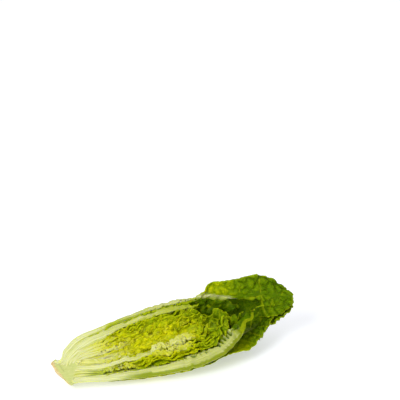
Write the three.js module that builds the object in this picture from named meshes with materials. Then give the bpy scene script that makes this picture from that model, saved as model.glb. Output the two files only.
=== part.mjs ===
// A romaine lettuce heart halved lengthwise, lying on its leafy side with the cut face up.
// Millimetres. The world is +Z up with the surface it lies on at z = 0; +X runs from the butt to the leaf tips.
//
// The head is modelled in its own frame first: x along the axis from the butt, the knife's plane at z = 0,
// the kept half below it, +y its back edge and -y its front edge. Around the axis the angle a is 0 straight
// down, +90 at the front cut edge and -90 at the back cut edge. Every leaf is one closed plate. Leaves are
// nested by a depth f, 0 on the outside of the head and 1 on its axis; a leaf fills the depths f -/+ half its
// own share, so leaves whose shares are apart never meet.

import * as THREE from 'three';

// ---- driving dimensions ----
const RISE = 9;             // degrees the axis climbs towards the tips
const ROLL = 28;            // degrees the cut face is rolled towards the front
const HUB = 15.1;           // height of the butt's centre above the surface
const SHIFT = [-116.615, -1.845]; // places the origin under the middle of the head

const CORE_LENGTH = 26;     // from the butt to the core's point
const CORE_RADIUS = 14.3;   // the core where the first leaf leaves it
const BUTT_SLANT = [0.2, 0.36]; // the butt is cut off askew: longer at the back edge, shorter underneath
const SLANT_FADE = 45;      // the slant dies out this far along the head
const NOSE = 206;           // where the outermost leaves would close on the axis
const NOSE_STEP = 48;       // how much sooner the innermost leaves close
const STRETCH_FROM = 60;    // the inner leaves are shortened only beyond this length
const BLADE = 0.038;        // share of the depth one leaf blade takes up
const SEAT = 0.35;          // gap between a leaf's foot and the core

// half-widths of the head at stations along the axis
const STATION = [0, 10, 20, 30, 45, 60, 80, 100, 120, 135, 150, 165, 178, 188, 196, 202, 206];
const BACK = [16.3, 21, 27, 31, 33.5, 35, 36.3, 37.8, 37, 35.8, 33, 29, 22.5, 16, 10, 5.5, 3];
const FRONT = [14.6, 16.8, 19, 21.5, 25.8, 29.5, 34, 37.8, 39.8, 40.2, 38.2, 31.5, 22.5, 13.5, 7, 3.6, 2.4];
const UNDER = [16.9, 17.8, 19.2, 20.8, 23.4, 26.2, 30, 34.2, 38, 39.2, 38, 34.8, 30, 24.5, 18, 11.5, 6];

const deg = Math.PI / 180;
const clamp = (v, lo, hi) => Math.min(hi, Math.max(lo, v));
const mix = (a, b, t) => a + (b - a) * t;
const smooth = (lo, hi, v) => { const t = clamp((v - lo) / (hi - lo), 0, 1); return t * t * (3 - 2 * t); };

// a curve through (xs, ys) that never overshoots its points
function curve(xs, ys) {
  const n = xs.length;
  const d = xs.slice(1).map((x, i) => (ys[i + 1] - ys[i]) / (x - xs[i]));
  const m = ys.map((_, i) => {
    if (i === 0) return d[0];
    if (i === n - 1) return d[n - 2];
    return d[i - 1] * d[i] <= 0 ? 0 : 2 * d[i - 1] * d[i] / (d[i - 1] + d[i]);
  });
  return (x) => {
    if (x <= xs[0]) return ys[0];
    if (x >= xs[n - 1]) return ys[n - 1];
    let i = 0;
    while (x > xs[i + 1]) i++;
    const h = xs[i + 1] - xs[i];
    const t = (x - xs[i]) / h;
    const t2 = t * t, t3 = t2 * t;
    return (2 * t3 - 3 * t2 + 1) * ys[i] + (t3 - 2 * t2 + t) * h * m[i]
      + (-2 * t3 + 3 * t2) * ys[i + 1] + (t3 - t2) * h * m[i + 1];
  };
}

const backAt = curve(STATION, BACK);
const frontAt = curve(STATION, FRONT);
const underAt = curve(STATION, UNDER);

// how far the askew butt moves a point along the axis
const slant = (x, y, z) => (-BUTT_SLANT[0] * y - BUTT_SLANT[1] * z) * (1 - smooth(0, SLANT_FADE, x));

// radius at which the surface below is reached
function surfaceRadius(x, a) {
  const c = Math.cos((a - ROLL) * deg);
  if (c <= 0.15) return 1e9;
  let r = HUB;
  for (let i = 0; i < 6; i++) {
    const along = x + slant(x, -r * Math.sin(a * deg), -r * Math.cos(a * deg));
    r = (HUB + along * Math.sin(RISE * deg)) / (Math.cos(RISE * deg) * c);
  }
  return r;
}

// outline of the whole head, pressed flat where it lies
function headRadius(x, a) {
  const s = Math.sin(a * deg), c = Math.cos(a * deg);
  const side = a > 0 ? frontAt(x) : backAt(x);
  let r = 1 / Math.hypot(s / side, c / underAt(x));
  if (a > 0 && a < 90) r *= 1 - 0.05 * Math.sin(2 * a * deg) ** 2;
  return Math.min(r, surfaceRadius(x, a));
}

const coreRadius = (x) => (x >= CORE_LENGTH ? 0 : CORE_RADIUS * (1 - Math.pow(Math.max(x, 0) / CORE_LENGTH, 0.9)));

// radius of the nested layer at depth f
function layerRadius(x, a, f) {
  const span = NOSE - STRETCH_FROM;
  const X = x <= STRETCH_FROM ? x : STRETCH_FROM + (x - STRETCH_FROM) * span / (span - NOSE_STEP * Math.max(f, 0));
  const R = headRadius(X, a);
  if (x >= CORE_LENGTH) return Math.max(0.4, R * (1 - f));
  const core = coreRadius(x);
  const whole = Math.max(x, 0.2) / CORE_LENGTH;
  return R - (f / whole) * (R - core);
}

// a leaf's foot sits where its inner face comes down to the core
function footAt(a, f) {
  let x = CORE_LENGTH * f + 1;
  for (let i = 0; i < 12; i++) {
    const room = Math.max(0.8, headRadius(x, a) - coreRadius(x));
    x = clamp(CORE_LENGTH * f / (1 - SEAT / room), 1.1, CORE_LENGTH - 0.6);
  }
  return x;
}

const polar = (x, a, r) => new THREE.Vector3(x, -r * Math.sin(a * deg), -r * Math.cos(a * deg));

// ---- a closed plate from two faces over the same grid ----
function plate(rows, cols, outer, inner) {
  const pos = [], index = [];
  const id = (face, i, j) => face * (rows + 1) * (cols + 1) + i * (cols + 1) + j;
  for (const face of [outer, inner])
    for (let i = 0; i <= rows; i++)
      for (let j = 0; j <= cols; j++) { const p = face[i][j]; pos.push(p.x, p.y, p.z); }
  const quad = (a, b, c, d) => index.push(a, b, c, a, c, d);
  for (let i = 0; i < rows; i++)
    for (let j = 0; j < cols; j++) {
      quad(id(0, i, j), id(0, i, j + 1), id(0, i + 1, j + 1), id(0, i + 1, j));
      quad(id(1, i, j), id(1, i + 1, j), id(1, i + 1, j + 1), id(1, i, j + 1));
    }
  for (let i = 0; i < rows; i++) {
    quad(id(0, i, 0), id(0, i + 1, 0), id(1, i + 1, 0), id(1, i, 0));
    quad(id(0, i, cols), id(1, i, cols), id(1, i + 1, cols), id(0, i + 1, cols));
  }
  for (let j = 0; j < cols; j++) {
    quad(id(0, 0, j), id(1, 0, j), id(1, 0, j + 1), id(0, 0, j + 1));
    quad(id(0, rows, j), id(0, rows, j + 1), id(1, rows, j + 1), id(1, rows, j));
  }
  const g = new THREE.BufferGeometry();
  g.setAttribute('position', new THREE.Float32BufferAttribute(pos, 3));
  g.setIndex(index);
  return g;
}

// ---- leaves ----
// rib: angle of the midrib. lo, hi: how far round the blade reaches on each side of it, in degrees.
// tip: where along the axis it ends. depth: [angle, f] pairs. stem: extra share at the midrib.
const LEAVES = [
  { name: 'leaf_outer_bottom', rib: -30, lo: 46, hi: 72, tip: 241, depth: [[-90, 0.019], [90, 0.019]], stem: 0.0, grid: [17, 12], free: 'bottom', colour: 0x7d9a25 },
  { name: 'leaf_outer_front', rib: 22, lo: 58, hi: 54, tip: 220, depth: [[-40, 0.088], [42, 0.087], [50, 0.074], [62, 0.03], [80, 0.0]], stem: 0.0, grid: [17, 9], free: 'front', colour: 0x6f8f1c },
  { name: 'leaf_wrap_front', rib: 32, lo: 40, hi: 34, tip: 176, depth: [[-90, 0.152], [90, 0.152]], stem: 0.0, grid: [10, 5], colour: 0x9db33a },
  { name: 'leaf_outer_back', rib: -88, lo: 60, hi: 72, tip: 240, depth: [[-90, 0.055], [-76, 0.09], [-45, 0.143], [-16, 0.147]], stem: 0.055, grid: [19, 8], free: 'back', colour: 0x67831a },
  { name: 'leaf_front_band', rib: 84, lo: 104, hi: 60, tip: 201, depth: [[-20, 0.207], [30, 0.255], [58, 0.25], [68, 0.222], [80, 0.13], [90, 0.09]], stem: 0.07, grid: [16, 8], colour: 0xc2c575 },
  { name: 'leaf_wrap_back', rib: -48, lo: 60, hi: 20, tip: 186, depth: [[-90, 0.155], [-76, 0.165], [-60, 0.182], [-45, 0.203], [-26, 0.207]], stem: 0.0, grid: [12, 5], colour: 0x9dae26 },
  { name: 'leaf_back_rib', rib: -86, lo: 60, hi: 64, tip: 152, depth: [[-90, 0.245], [-60, 0.255], [-45, 0.265], [-22, 0.269]], stem: 0.06, grid: [11, 5], colour: 0xc8cc7a },
  { name: 'leaf_front_fold', rib: 40, lo: 54, hi: 80, tip: 186, depth: [[-14, 0.286], [0, 0.295], [30, 0.326], [60, 0.322], [70, 0.296], [80, 0.236], [90, 0.208]], stem: 0.0, grid: [14, 8], colour: 0xa8b02a },
  { name: 'heart_leaf_01', rib: -22, lo: 90, hi: 70, tip: 150, depth: [[-90, 0.338], [-60, 0.33], [-40, 0.33], [0, 0.35], [30, 0.387], [48, 0.39]], stem: 0.0, grid: [11, 7], colour: 0xb6b81c },
  { name: 'heart_leaf_02', rib: 62, lo: 66, hi: 70, tip: 170, depth: [[-5, 0.413], [0, 0.416], [30, 0.454], [50, 0.456], [60, 0.426], [70, 0.37], [80, 0.305], [90, 0.268]], stem: 0.0, grid: [14, 7], colour: 0xaab41c },
  { name: 'heart_leaf_03', rib: -68, lo: 60, hi: 53, tip: 147, depth: [[-90, 0.398], [-14, 0.402]], stem: 0.0, grid: [9, 5], colour: 0xbcbb1a },
  { name: 'heart_leaf_04', rib: 14, lo: 120, hi: 96, tip: 171, depth: [[-90, 0.458], [-14, 0.462], [0, 0.479], [30, 0.517], [50, 0.519], [60, 0.493], [70, 0.434], [80, 0.372], [90, 0.334]], stem: 0.0, grid: [13, 12], colour: 0xb2b61c },
  { name: 'heart_leaf_05', rib: -74, lo: 60, hi: 82, tip: 146, depth: [[-90, 0.518], [-14, 0.522], [10, 0.546]], stem: 0.0, grid: [9, 6], colour: 0xbfbd18 },
  { name: 'heart_leaf_06', rib: 60, lo: 40, hi: 70, tip: 169, depth: [[20, 0.574], [30, 0.579], [50, 0.581], [60, 0.556], [70, 0.507], [80, 0.446], [90, 0.409]], stem: 0.0, grid: [11, 6], colour: 0xb4b81a },
  { name: 'heart_leaf_07', rib: 4, lo: 120, hi: 104, tip: 164, depth: [[-90, 0.58], [-14, 0.584], [10, 0.612], [30, 0.636], [50, 0.639], [60, 0.615], [70, 0.566], [80, 0.5], [90, 0.462]], stem: 0.0, grid: [10, 12], colour: 0xbcbb18 },
  { name: 'heart_leaf_08', rib: 72, lo: 34, hi: 60, tip: 160, depth: [[38, 0.704], [60, 0.688], [70, 0.639], [80, 0.58], [90, 0.546]], stem: 0.0, grid: [9, 5], colour: 0xc0c030 },
  { name: 'heart_leaf_front_rib', rib: 86, lo: 94, hi: 60, tip: 152, depth: [[-8, 0.69], [20, 0.715], [30, 0.754], [60, 0.75], [70, 0.712], [80, 0.664], [90, 0.63]], stem: 0.05, grid: [10, 6], colour: 0xcacf77 },
  { name: 'heart_leaf_09', rib: -66, lo: 60, hi: 48, tip: 143, depth: [[-90, 0.642], [-16, 0.646]], stem: 0.0, grid: [9, 5], colour: 0xc2c01a },
  { name: 'heart_leaf_10', rib: -40, lo: 100, hi: 100, tip: 151, depth: [[-90, 0.705], [-18, 0.71], [0, 0.76], [30, 0.803], [60, 0.8]], stem: 0.0, grid: [9, 7], colour: 0xc0be1a },
  { name: 'heart_leaf_11', rib: 52, lo: 80, hi: 80, tip: 156, depth: [[-30, 0.79], [0, 0.822], [30, 0.865], [60, 0.863], [72, 0.79], [80, 0.748], [90, 0.715]], stem: 0.0, grid: [9, 6], colour: 0xc4c21c },
  { name: 'heart_leaf_12', rib: -80, lo: 60, hi: 44, tip: 140, depth: [[-90, 0.785], [-60, 0.785], [-36, 0.80]], stem: 0.0, grid: [8, 4], colour: 0xc8c622 },
  { name: 'heart_leaf_13', rib: 6, lo: 130, hi: 130, tip: 146, depth: [[-90, 0.868], [-36, 0.872], [-10, 0.892], [30, 0.925], [60, 0.922], [76, 0.86], [90, 0.80]], stem: 0.0, grid: [8, 8], colour: 0xcac924 },
];

// how wide the blade is along its length, as a share of its widest
const widthAt = curve([0, 0.06, 0.2, 0.4, 0.62, 0.8, 0.9, 0.96, 1], [0.52, 0.55, 0.72, 0.95, 1, 0.9, 0.72, 0.5, 0.3]);

// The tips of the three outermost leaves open away from the nested layers. Each row is one section of the
// blade's middle surface: [x, five [y, z] points from the -v edge to the +v edge].
const ring = (x, list) => [x, list.map(([a, r]) => [-r * Math.sin(a * deg), -r * Math.cos(a * deg)])];
const FREE = {
  bottom: [
    ring(168, [[-72, 32.6], [-43, 34.8], [-14, 35.6], [15, 35.4], [43, 35]]),
    ring(187, [[-62, 30], [-37, 32.6], [-11, 33.8], [14, 34], [39, 33.8]]),
    ring(206, [[-52, 26.5], [-31, 29.6], [-11, 31], [9, 31.4], [29, 30.6]]),
    ring(222, [[-40, 24], [-25, 26.4], [-9, 27.4], [7, 27.4], [22, 26.4]]),
    ring(233, [[-28, 21], [-17, 22.8], [-6, 23.6], [5, 23.6], [16, 22.4]]),
    ring(241, [[-14, 17], [-8, 17.8], [-2, 18.2], [4, 18], [10, 17.2]]),
  ],
  front: [
    ring(166, [[-34, 30], [-6, 30.8], [20, 30.8], [46, 32], [74, 37.6]]),
    ring(179, [[-30, 28.8], [-7, 29.8], [16, 30.2], [38, 30.8], [62, 38.4]]),
    ring(195, [[-18, 26.2], [0, 27.6], [17, 28.2], [35, 28.8], [52, 33]]),
    ring(210, [[-8, 23.4], [3, 24.8], [13, 25.4], [24, 25.6], [35, 25.4]]),
    ring(220, [[4, 21.6], [8, 22], [12, 22.2], [16, 22], [20, 21.8]]),
  ],
  back: [
    [166, [[36.3, 6.5], [29, -1], [22.5, -12.5], [14.5, -23], [7.5, -27]]],
    [178, [[31, 12.5], [21.8, 1], [18.7, -10.5], [14.4, -18.4], [6, -24.6]]],
    [190, [[27, 14], [15.8, 2], [13.5, -8], [10, -16], [2, -22.4]]],
    [202, [[26, 13.5], [11, 3], [8.5, -6], [5, -14], [-2, -20.6]]],
    [214, [[24, 11.5], [7, 3], [4, -5], [1, -12.5], [-5, -19.6]]],
    [226, [[16, 8], [2.5, 2.5], [0, -4], [-3, -11], [-8, -18.6]]],
    [234, [[7, 4.5], [-1, 1], [-3, -4], [-6, -10], [-9.5, -16.6]]],
    [240, [[-2, 0], [-3.5, -2], [-5, -5], [-7, -9], [-9, -13]]],
  ],
};

// a smooth curve through evenly numbered points, t counted in points
function through(list, t) {
  const n = list.length - 1;
  const i = clamp(Math.floor(t), 0, n - 1);
  const u = t - i;
  const at = (k) => list[clamp(k, 0, n)];
  const [p0, p1, p2, p3] = [at(i - 1), at(i), at(i + 1), at(i + 2)];
  return 0.5 * (2 * p1 + (p2 - p0) * u + (2 * p0 - 5 * p1 + 4 * p2 - p3) * u * u + (3 * p1 - p0 - 3 * p2 + p3) * u ** 3);
}

const JOIN = [135, 150]; // the nested part hands over to the free tip beyond these two stations

function leafGeometry(leaf) {
  const [rows, cols] = leaf.grid;
  const depthAt = curve(leaf.depth.map((p) => p[0]), leaf.depth.map((p) => p[1]));
  const net = leaf.free ? FREE[leaf.free] : null;

  const share = (a, s) => {
    const near = Math.exp(-(((a - leaf.rib) / mix(17, 8, s)) ** 2));
    return BLADE + leaf.stem * near * (1 - 0.75 * s ** 1.5);
  };
  // a cut edge stays on the knife's plane; a whole edge follows the leaf's own outline
  const angles = (s, v) => {
    const w = widthAt(s);
    const a0 = Math.max(-90, leaf.rib - leaf.lo * w);
    const a1 = Math.min(90, leaf.rib + leaf.hi * w);
    return mix(a0, a1, (v + 1) / 2);
  };

  const foot = footAt(clamp(leaf.rib, -90, 90), depthAt(leaf.rib) + share(leaf.rib, 0) / 2);
  const lengthTo = net ? 205 : leaf.tip; // the outline's length scale

  const middle = (x, v) => {
    if (!net || x <= JOIN[0]) {
      const s = clamp((x - foot) / (lengthTo - foot), 0, 1);
      const a = angles(net ? Math.min(s, 0.7) : s, v);
      return polar(x, a, layerRadius(x, a, depthAt(a)));
    }
    const xs = [JOIN[0], JOIN[1], ...net.map((r) => r[0])];
    let k = 0;
    while (k < xs.length - 2 && x > xs[k + 1]) k++;
    const t = k + (x - xs[k]) / (xs[k + 1] - xs[k]);
    const sections = [JOIN[0] - 15, ...xs].map((X, i) => {
      if (i > 2) return net[i - 3][1];
      const out = [];
      for (let j = 0; j < 5; j++) {
        const s = clamp((X - foot) / (lengthTo - foot), 0, 0.7);
        const a = angles(s, -1 + j / 2);
        const p = polar(X, a, layerRadius(X, a, depthAt(a)));
        out.push([p.y, p.z]);
      }
      return out;
    });
    const at = (c) => through(sections.map((row) => through(row.map((p) => p[c]), (v + 1) * 2)), t + 1);
    return new THREE.Vector3(x, at(0), at(1));
  };

  const outer = [], inner = [];
  for (let i = 0; i <= rows; i++) {
    const u = i / rows;
    const fo = [], fi = [];
    for (let j = 0; j <= cols; j++) {
      const v = -1 + 2 * j / cols;
      const aFoot = angles(0, v);
      const xFoot = footAt(aFoot, depthAt(aFoot) + share(aFoot, 0) / 2);
      // stations crowd a little towards both ends, and the end is rounded off
      const e = mix(u, 0.5 - 0.5 * Math.cos(Math.PI * u), 0.35);
      const round = net ? 3 : 0.045 * (leaf.tip - xFoot);
      const x = mix(xFoot, leaf.tip - round * v * v * smooth(0.55, 1, u), e);
      const s = clamp((x - foot) / (lengthTo - foot), 0, 1);
      const a = angles(net ? Math.min(s, 0.7) : s, v);
      const f = depthAt(a), half = share(a, s) / 2;
      let po = polar(x, a, layerRadius(x, a, f - half));
      let pi = polar(x, a, layerRadius(x, a, f + half));
      if (net) {
        const w = smooth(JOIN[0] - 4, JOIN[1] + 4, x);
        if (w > 0) {
          const c = middle(x, v);
          const d1 = middle(x + 0.5, v).sub(middle(x - 0.5, v));
          const d2 = middle(x, Math.min(1, v + 0.05)).sub(middle(x, Math.max(-1, v - 0.05)));
          const n = d2.cross(d1).normalize();
          const flat = Math.abs(c.z) < 1e-6;
          if (flat) { n.z = 0; n.normalize(); }
          const axis = new THREE.Vector3(0, c.y, c.z);
          if (n.dot(axis) < 0 && axis.length() > 12) n.negate();
          const T = mix(1.45, 1.1, smooth(150, 240, x)) / 2;
          po = po.lerp(c.clone().addScaledVector(n, T), w);
          pi = pi.lerp(c.clone().addScaledVector(n, -T), w);
        }
      }
      fo.push(po); fi.push(pi);
    }
    outer.push(fo); inner.push(fi);
  }
  return plate(rows, cols, outer, inner);
}

// ---- the core: half a short cone under the knife's plane, with a disc at the butt that the feet stand on ----
function coreGeometry() {
  const N = 14;
  const stations = [
    { x: -3.6, r: (a) => headRadius(0, a) - 1.7 },
    { x: -2.1, r: (a) => headRadius(0, a) - 0.3 },
    { x: 0.6, r: (a) => headRadius(0.6, a) - 0.1 },
    { x: 0.75, r: () => coreRadius(1.1) - 0.02 },
    ...[3, 6, 10, 14, 18, 22, 25].map((x) => ({ x, r: () => coreRadius(x) })),
  ];
  const pos = [], index = [];
  const ringSize = N + 2;
  for (const st of stations) {
    for (let j = 0; j <= N; j++) {
      const a = -90 + 180 * j / N;
      const p = polar(st.x, a, st.r(a));
      pos.push(p.x, p.y, j === 0 || j === N ? 0 : p.z);
    }
    pos.push(st.x, 0, 0);
  }
  for (let k = 0; k < stations.length - 1; k++)
    for (let j = 0; j < ringSize; j++) {
      const a = k * ringSize + j, b = k * ringSize + (j + 1) % ringSize;
      index.push(a, b, b + ringSize, a, b + ringSize, a + ringSize);
    }
  for (const [k, flip] of [[0, true], [stations.length - 1, false]]) {
    const hub = k * ringSize + N + 1;
    for (let j = 0; j < N; j++) {
      const a = k * ringSize + j, b = a + 1;
      if (flip) index.push(hub, b, a); else index.push(hub, a, b);
    }
  }
  const g = new THREE.BufferGeometry();
  g.setAttribute('position', new THREE.Float32BufferAttribute(pos, 3));
  g.setIndex(index);
  return g;
}

// every closed mesh is turned so that its faces point out
function facedOut(g) {
  const p = g.getAttribute('position'), ix = g.getIndex().array;
  const A = new THREE.Vector3(), B = new THREE.Vector3(), C = new THREE.Vector3();
  let volume = 0;
  for (let i = 0; i < ix.length; i += 3) {
    A.fromBufferAttribute(p, ix[i]); B.fromBufferAttribute(p, ix[i + 1]); C.fromBufferAttribute(p, ix[i + 2]);
    volume += A.dot(B.cross(C)) / 6;
  }
  if (volume < 0) {
    const turned = [];
    for (let i = 0; i < ix.length; i += 3) turned.push(ix[i], ix[i + 2], ix[i + 1]);
    g.setIndex(turned);
  }
  return g;
}

// lays the head down: its own frame to the world's
const lay = new THREE.Matrix4().makeTranslation(SHIFT[0], SHIFT[1], HUB)
  .multiply(new THREE.Matrix4().makeRotationY(-RISE * deg))
  .multiply(new THREE.Matrix4().makeRotationX(ROLL * deg));

function add(group, name, geometry, colour, roughness) {
  const p = geometry.getAttribute('position');
  for (let i = 0; i < p.count; i++) p.setX(i, p.getX(i) + slant(p.getX(i), p.getY(i), p.getZ(i)));
  geometry.applyMatrix4(lay);
  for (let i = 0; i < p.count; i++) if (p.getZ(i) < 0.12) p.setZ(i, 0); // the pressed patch is truly flat
  facedOut(geometry).computeVertexNormals();
  const mesh = new THREE.Mesh(geometry, new THREE.MeshStandardMaterial({ color: colour, roughness, metalness: 0 }));
  mesh.name = name;
  group.add(mesh);
}

const head = new THREE.Group();
head.name = 'romaine_heart_half';
add(head, 'core', coreGeometry(), 0xd3d78a, 0.55);
for (const leaf of LEAVES) add(head, leaf.name, leafGeometry(leaf), leaf.colour, 0.5);

export default head;
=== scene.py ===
import math

import bpy
import numpy as np
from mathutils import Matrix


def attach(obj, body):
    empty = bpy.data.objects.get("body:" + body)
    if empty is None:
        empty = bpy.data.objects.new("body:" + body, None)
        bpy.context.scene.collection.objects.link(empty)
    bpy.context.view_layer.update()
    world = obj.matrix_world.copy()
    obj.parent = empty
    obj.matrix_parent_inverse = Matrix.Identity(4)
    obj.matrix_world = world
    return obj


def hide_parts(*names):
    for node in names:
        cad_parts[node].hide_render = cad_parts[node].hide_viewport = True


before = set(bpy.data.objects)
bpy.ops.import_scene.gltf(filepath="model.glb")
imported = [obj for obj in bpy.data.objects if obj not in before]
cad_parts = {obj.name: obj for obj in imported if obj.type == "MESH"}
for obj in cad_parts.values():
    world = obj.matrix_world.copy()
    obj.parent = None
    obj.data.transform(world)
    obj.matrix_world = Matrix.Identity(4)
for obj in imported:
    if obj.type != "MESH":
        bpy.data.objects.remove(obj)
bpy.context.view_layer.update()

# Millimetres in the head's own frame until the last step: x along the axis from the butt, the knife's plane
# at z = 0, the kept half below it, -y towards the viewer's side. Angle a round the axis: 0 straight down,
# +90 the front cut edge, -90 the back cut edge. Depth f: 0 on the outside of the head, 1 on its axis.

# ---------------------------------------------------------------- the head, as the CAD has it
RISE, ROLL, HUB, SHIFT = 9.0, 28.0, 15.1, (-116.615, -1.845)
CORE_LENGTH, CORE_RADIUS = 26.0, 14.3
BUTT_SLANT, SLANT_FADE = (0.2, 0.36), 45.0
NOSE, NOSE_STEP, STRETCH_FROM = 206.0, 48.0, 60.0
BLADE, SEAT = 0.038, 0.35
STATION = [0, 10, 20, 30, 45, 60, 80, 100, 120, 135, 150, 165, 178, 188, 196, 202, 206]
BACK = [16.3, 21, 27, 31, 33.5, 35, 36.3, 37.8, 37, 35.8, 33, 29, 22.5, 16, 10, 5.5, 3]
FRONT = [14.6, 16.8, 19, 21.5, 25.8, 29.5, 34, 37.8, 39.8, 40.2, 38.2, 31.5, 22.5, 13.5, 7, 3.6, 2.4]
UNDER = [16.9, 17.8, 19.2, 20.8, 23.4, 26.2, 30, 34.2, 38, 39.2, 38, 34.8, 30, 24.5, 18, 11.5, 6]
JOIN = (135.0, 150.0)
DEG = math.pi / 180


def mix(a, b, t):
    return a + (b - a) * t


def smooth(lo, hi, v):
    t = np.clip((np.asarray(v, float) - lo) / (hi - lo), 0, 1)
    return t * t * (3 - 2 * t)


def curve(xs, ys):
    xs, ys = np.array(xs, float), np.array(ys, float)
    d = np.diff(ys) / np.diff(xs)
    m = np.empty(len(xs))
    m[0], m[-1] = d[0], d[-1]
    for i in range(1, len(xs) - 1):
        m[i] = 0 if d[i - 1] * d[i] <= 0 else 2 * d[i - 1] * d[i] / (d[i - 1] + d[i])

    def at(x):
        x = np.clip(np.asarray(x, float), xs[0], xs[-1])
        i = np.clip(np.searchsorted(xs, x, side="left") - 1, 0, len(xs) - 2)
        h = xs[i + 1] - xs[i]
        t = (x - xs[i]) / h
        return ((2 * t**3 - 3 * t**2 + 1) * ys[i] + (t**3 - 2 * t**2 + t) * h * m[i]
                + (3 * t**2 - 2 * t**3) * ys[i + 1] + (t**3 - t**2) * h * m[i + 1])

    return at


back_at, front_at, under_at = curve(STATION, BACK), curve(STATION, FRONT), curve(STATION, UNDER)
width_at = curve([0, 0.06, 0.2, 0.4, 0.62, 0.8, 0.9, 0.96, 1], [0.52, 0.55, 0.72, 0.95, 1, 0.9, 0.72, 0.5, 0.3])


def slant(x, y, z):
    return (-BUTT_SLANT[0] * y - BUTT_SLANT[1] * z) * (1 - smooth(0, SLANT_FADE, x))


def surface_radius(x, a):
    c = np.cos((a - ROLL) * DEG)
    ok = c > 0.15
    cc = np.where(ok, c, 1.0)
    r = np.full(np.broadcast(x, a).shape, HUB)
    for _ in range(6):
        along = x + slant(x, -r * np.sin(a * DEG), -r * np.cos(a * DEG))
        r = (HUB + along * math.sin(RISE * DEG)) / (math.cos(RISE * DEG) * cc)
    return np.where(ok, r, 1e9)


def head_radius(x, a):
    s, c = np.sin(a * DEG), np.cos(a * DEG)
    side = np.where(a > 0, front_at(x), back_at(x))
    r = 1 / np.hypot(s / side, c / under_at(x))
    r = np.where((a > 0) & (a < 90), r * (1 - 0.05 * np.sin(2 * a * DEG) ** 2), r)
    return np.minimum(r, surface_radius(x, a))


def core_radius(x):
    return np.where(x >= CORE_LENGTH, 0.0, CORE_RADIUS * (1 - (np.clip(x, 0, CORE_LENGTH) / CORE_LENGTH) ** 0.9))


def stretched(x, f):
    span = NOSE - STRETCH_FROM
    return np.where(x <= STRETCH_FROM, x, STRETCH_FROM + (x - STRETCH_FROM) * span / (span - NOSE_STEP * np.clip(f, 0, 1)))


def layer_radius(x, a, f):
    R = head_radius(stretched(x, f), a)
    whole = np.maximum(x, 0.2) / CORE_LENGTH
    return np.where(x >= CORE_LENGTH, np.maximum(0.4, R * (1 - f)), R - f / whole * (R - core_radius(x)))


def foot_at(a, f):
    x = CORE_LENGTH * f + 1
    for _ in range(12):
        room = np.maximum(0.8, head_radius(x, a) - core_radius(x))
        x = np.clip(CORE_LENGTH * f / (1 - SEAT / room), 1.1, CORE_LENGTH - 0.6)
    return x


def polar(x, a, r):
    return np.stack(np.broadcast_arrays(x, -r * np.sin(a * DEG), -r * np.cos(a * DEG)), -1)


tilt, roll = -RISE * DEG, ROLL * DEG
LAY = np.array([[math.cos(tilt), 0, math.sin(tilt)], [0, 1, 0], [-math.sin(tilt), 0, math.cos(tilt)]]) @ np.array(
    [[1, 0, 0], [0, math.cos(roll), -math.sin(roll)], [0, math.sin(roll), math.cos(roll)]])
OFFSET = np.array([SHIFT[0], SHIFT[1], HUB])


# ---------------------------------------------------------------- seeded noise
class Noise:
    def __init__(self, seed):
        rng = np.random.default_rng(seed)
        self.p = np.concatenate([rng.permutation(256)] * 3)
        g = rng.normal(size=(256, 3))
        self.g = g / np.linalg.norm(g, axis=1, keepdims=True)

    def __call__(self, x, y, z=0.0):
        x, y, z = np.broadcast_arrays(np.asarray(x, float), np.asarray(y, float), np.asarray(z, float))
        xi, yi, zi = np.floor(x).astype(int), np.floor(y).astype(int), np.floor(z).astype(int)
        fx, fy, fz = x - xi, y - yi, z - zi
        u, v, w = (t * t * t * (t * (t * 6 - 15) + 10) for t in (fx, fy, fz))
        total = np.zeros(x.shape)
        for dx in (0, 1):
            for dy in (0, 1):
                for dz in (0, 1):
                    h = self.p[self.p[self.p[(xi + dx) & 255] + ((yi + dy) & 255)] + ((zi + dz) & 255)]
                    g = self.g[h]
                    dot = g[..., 0] * (fx - dx) + g[..., 1] * (fy - dy) + g[..., 2] * (fz - dz)
                    total += dot * (u if dx else 1 - u) * (v if dy else 1 - v) * (w if dz else 1 - w)
        return total * 1.55


noise = Noise(41)


def cells(px, py, seed):
    """Distance to the nearest and to the second nearest of a jittered grid's points."""
    ix, iy = np.floor(px).astype(int), np.floor(py).astype(int)
    best = np.full(px.shape, 9.0)
    second = np.full(px.shape, 9.0)
    for dx in (-2, -1, 0, 1, 2):
        for dy in (-2, -1, 0, 1, 2):
            cx, cy = ix + dx, iy + dy
            h = (cx * 374761393 + cy * 668265263 + seed * 144665) & 0x7FFFFFFF
            h = ((h ^ (h >> 13)) * 1274126177) & 0x7FFFFFFF
            jx = ((h >> 3) & 1023) / 1023.0
            jy = ((h >> 14) & 1023) / 1023.0
            d = np.hypot(px - cx - 0.15 - 0.7 * jx, py - cy - 0.15 - 0.7 * jy)
            second = np.where(d < best, best, np.minimum(second, d))
            best = np.minimum(best, d)
    return best, second


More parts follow.
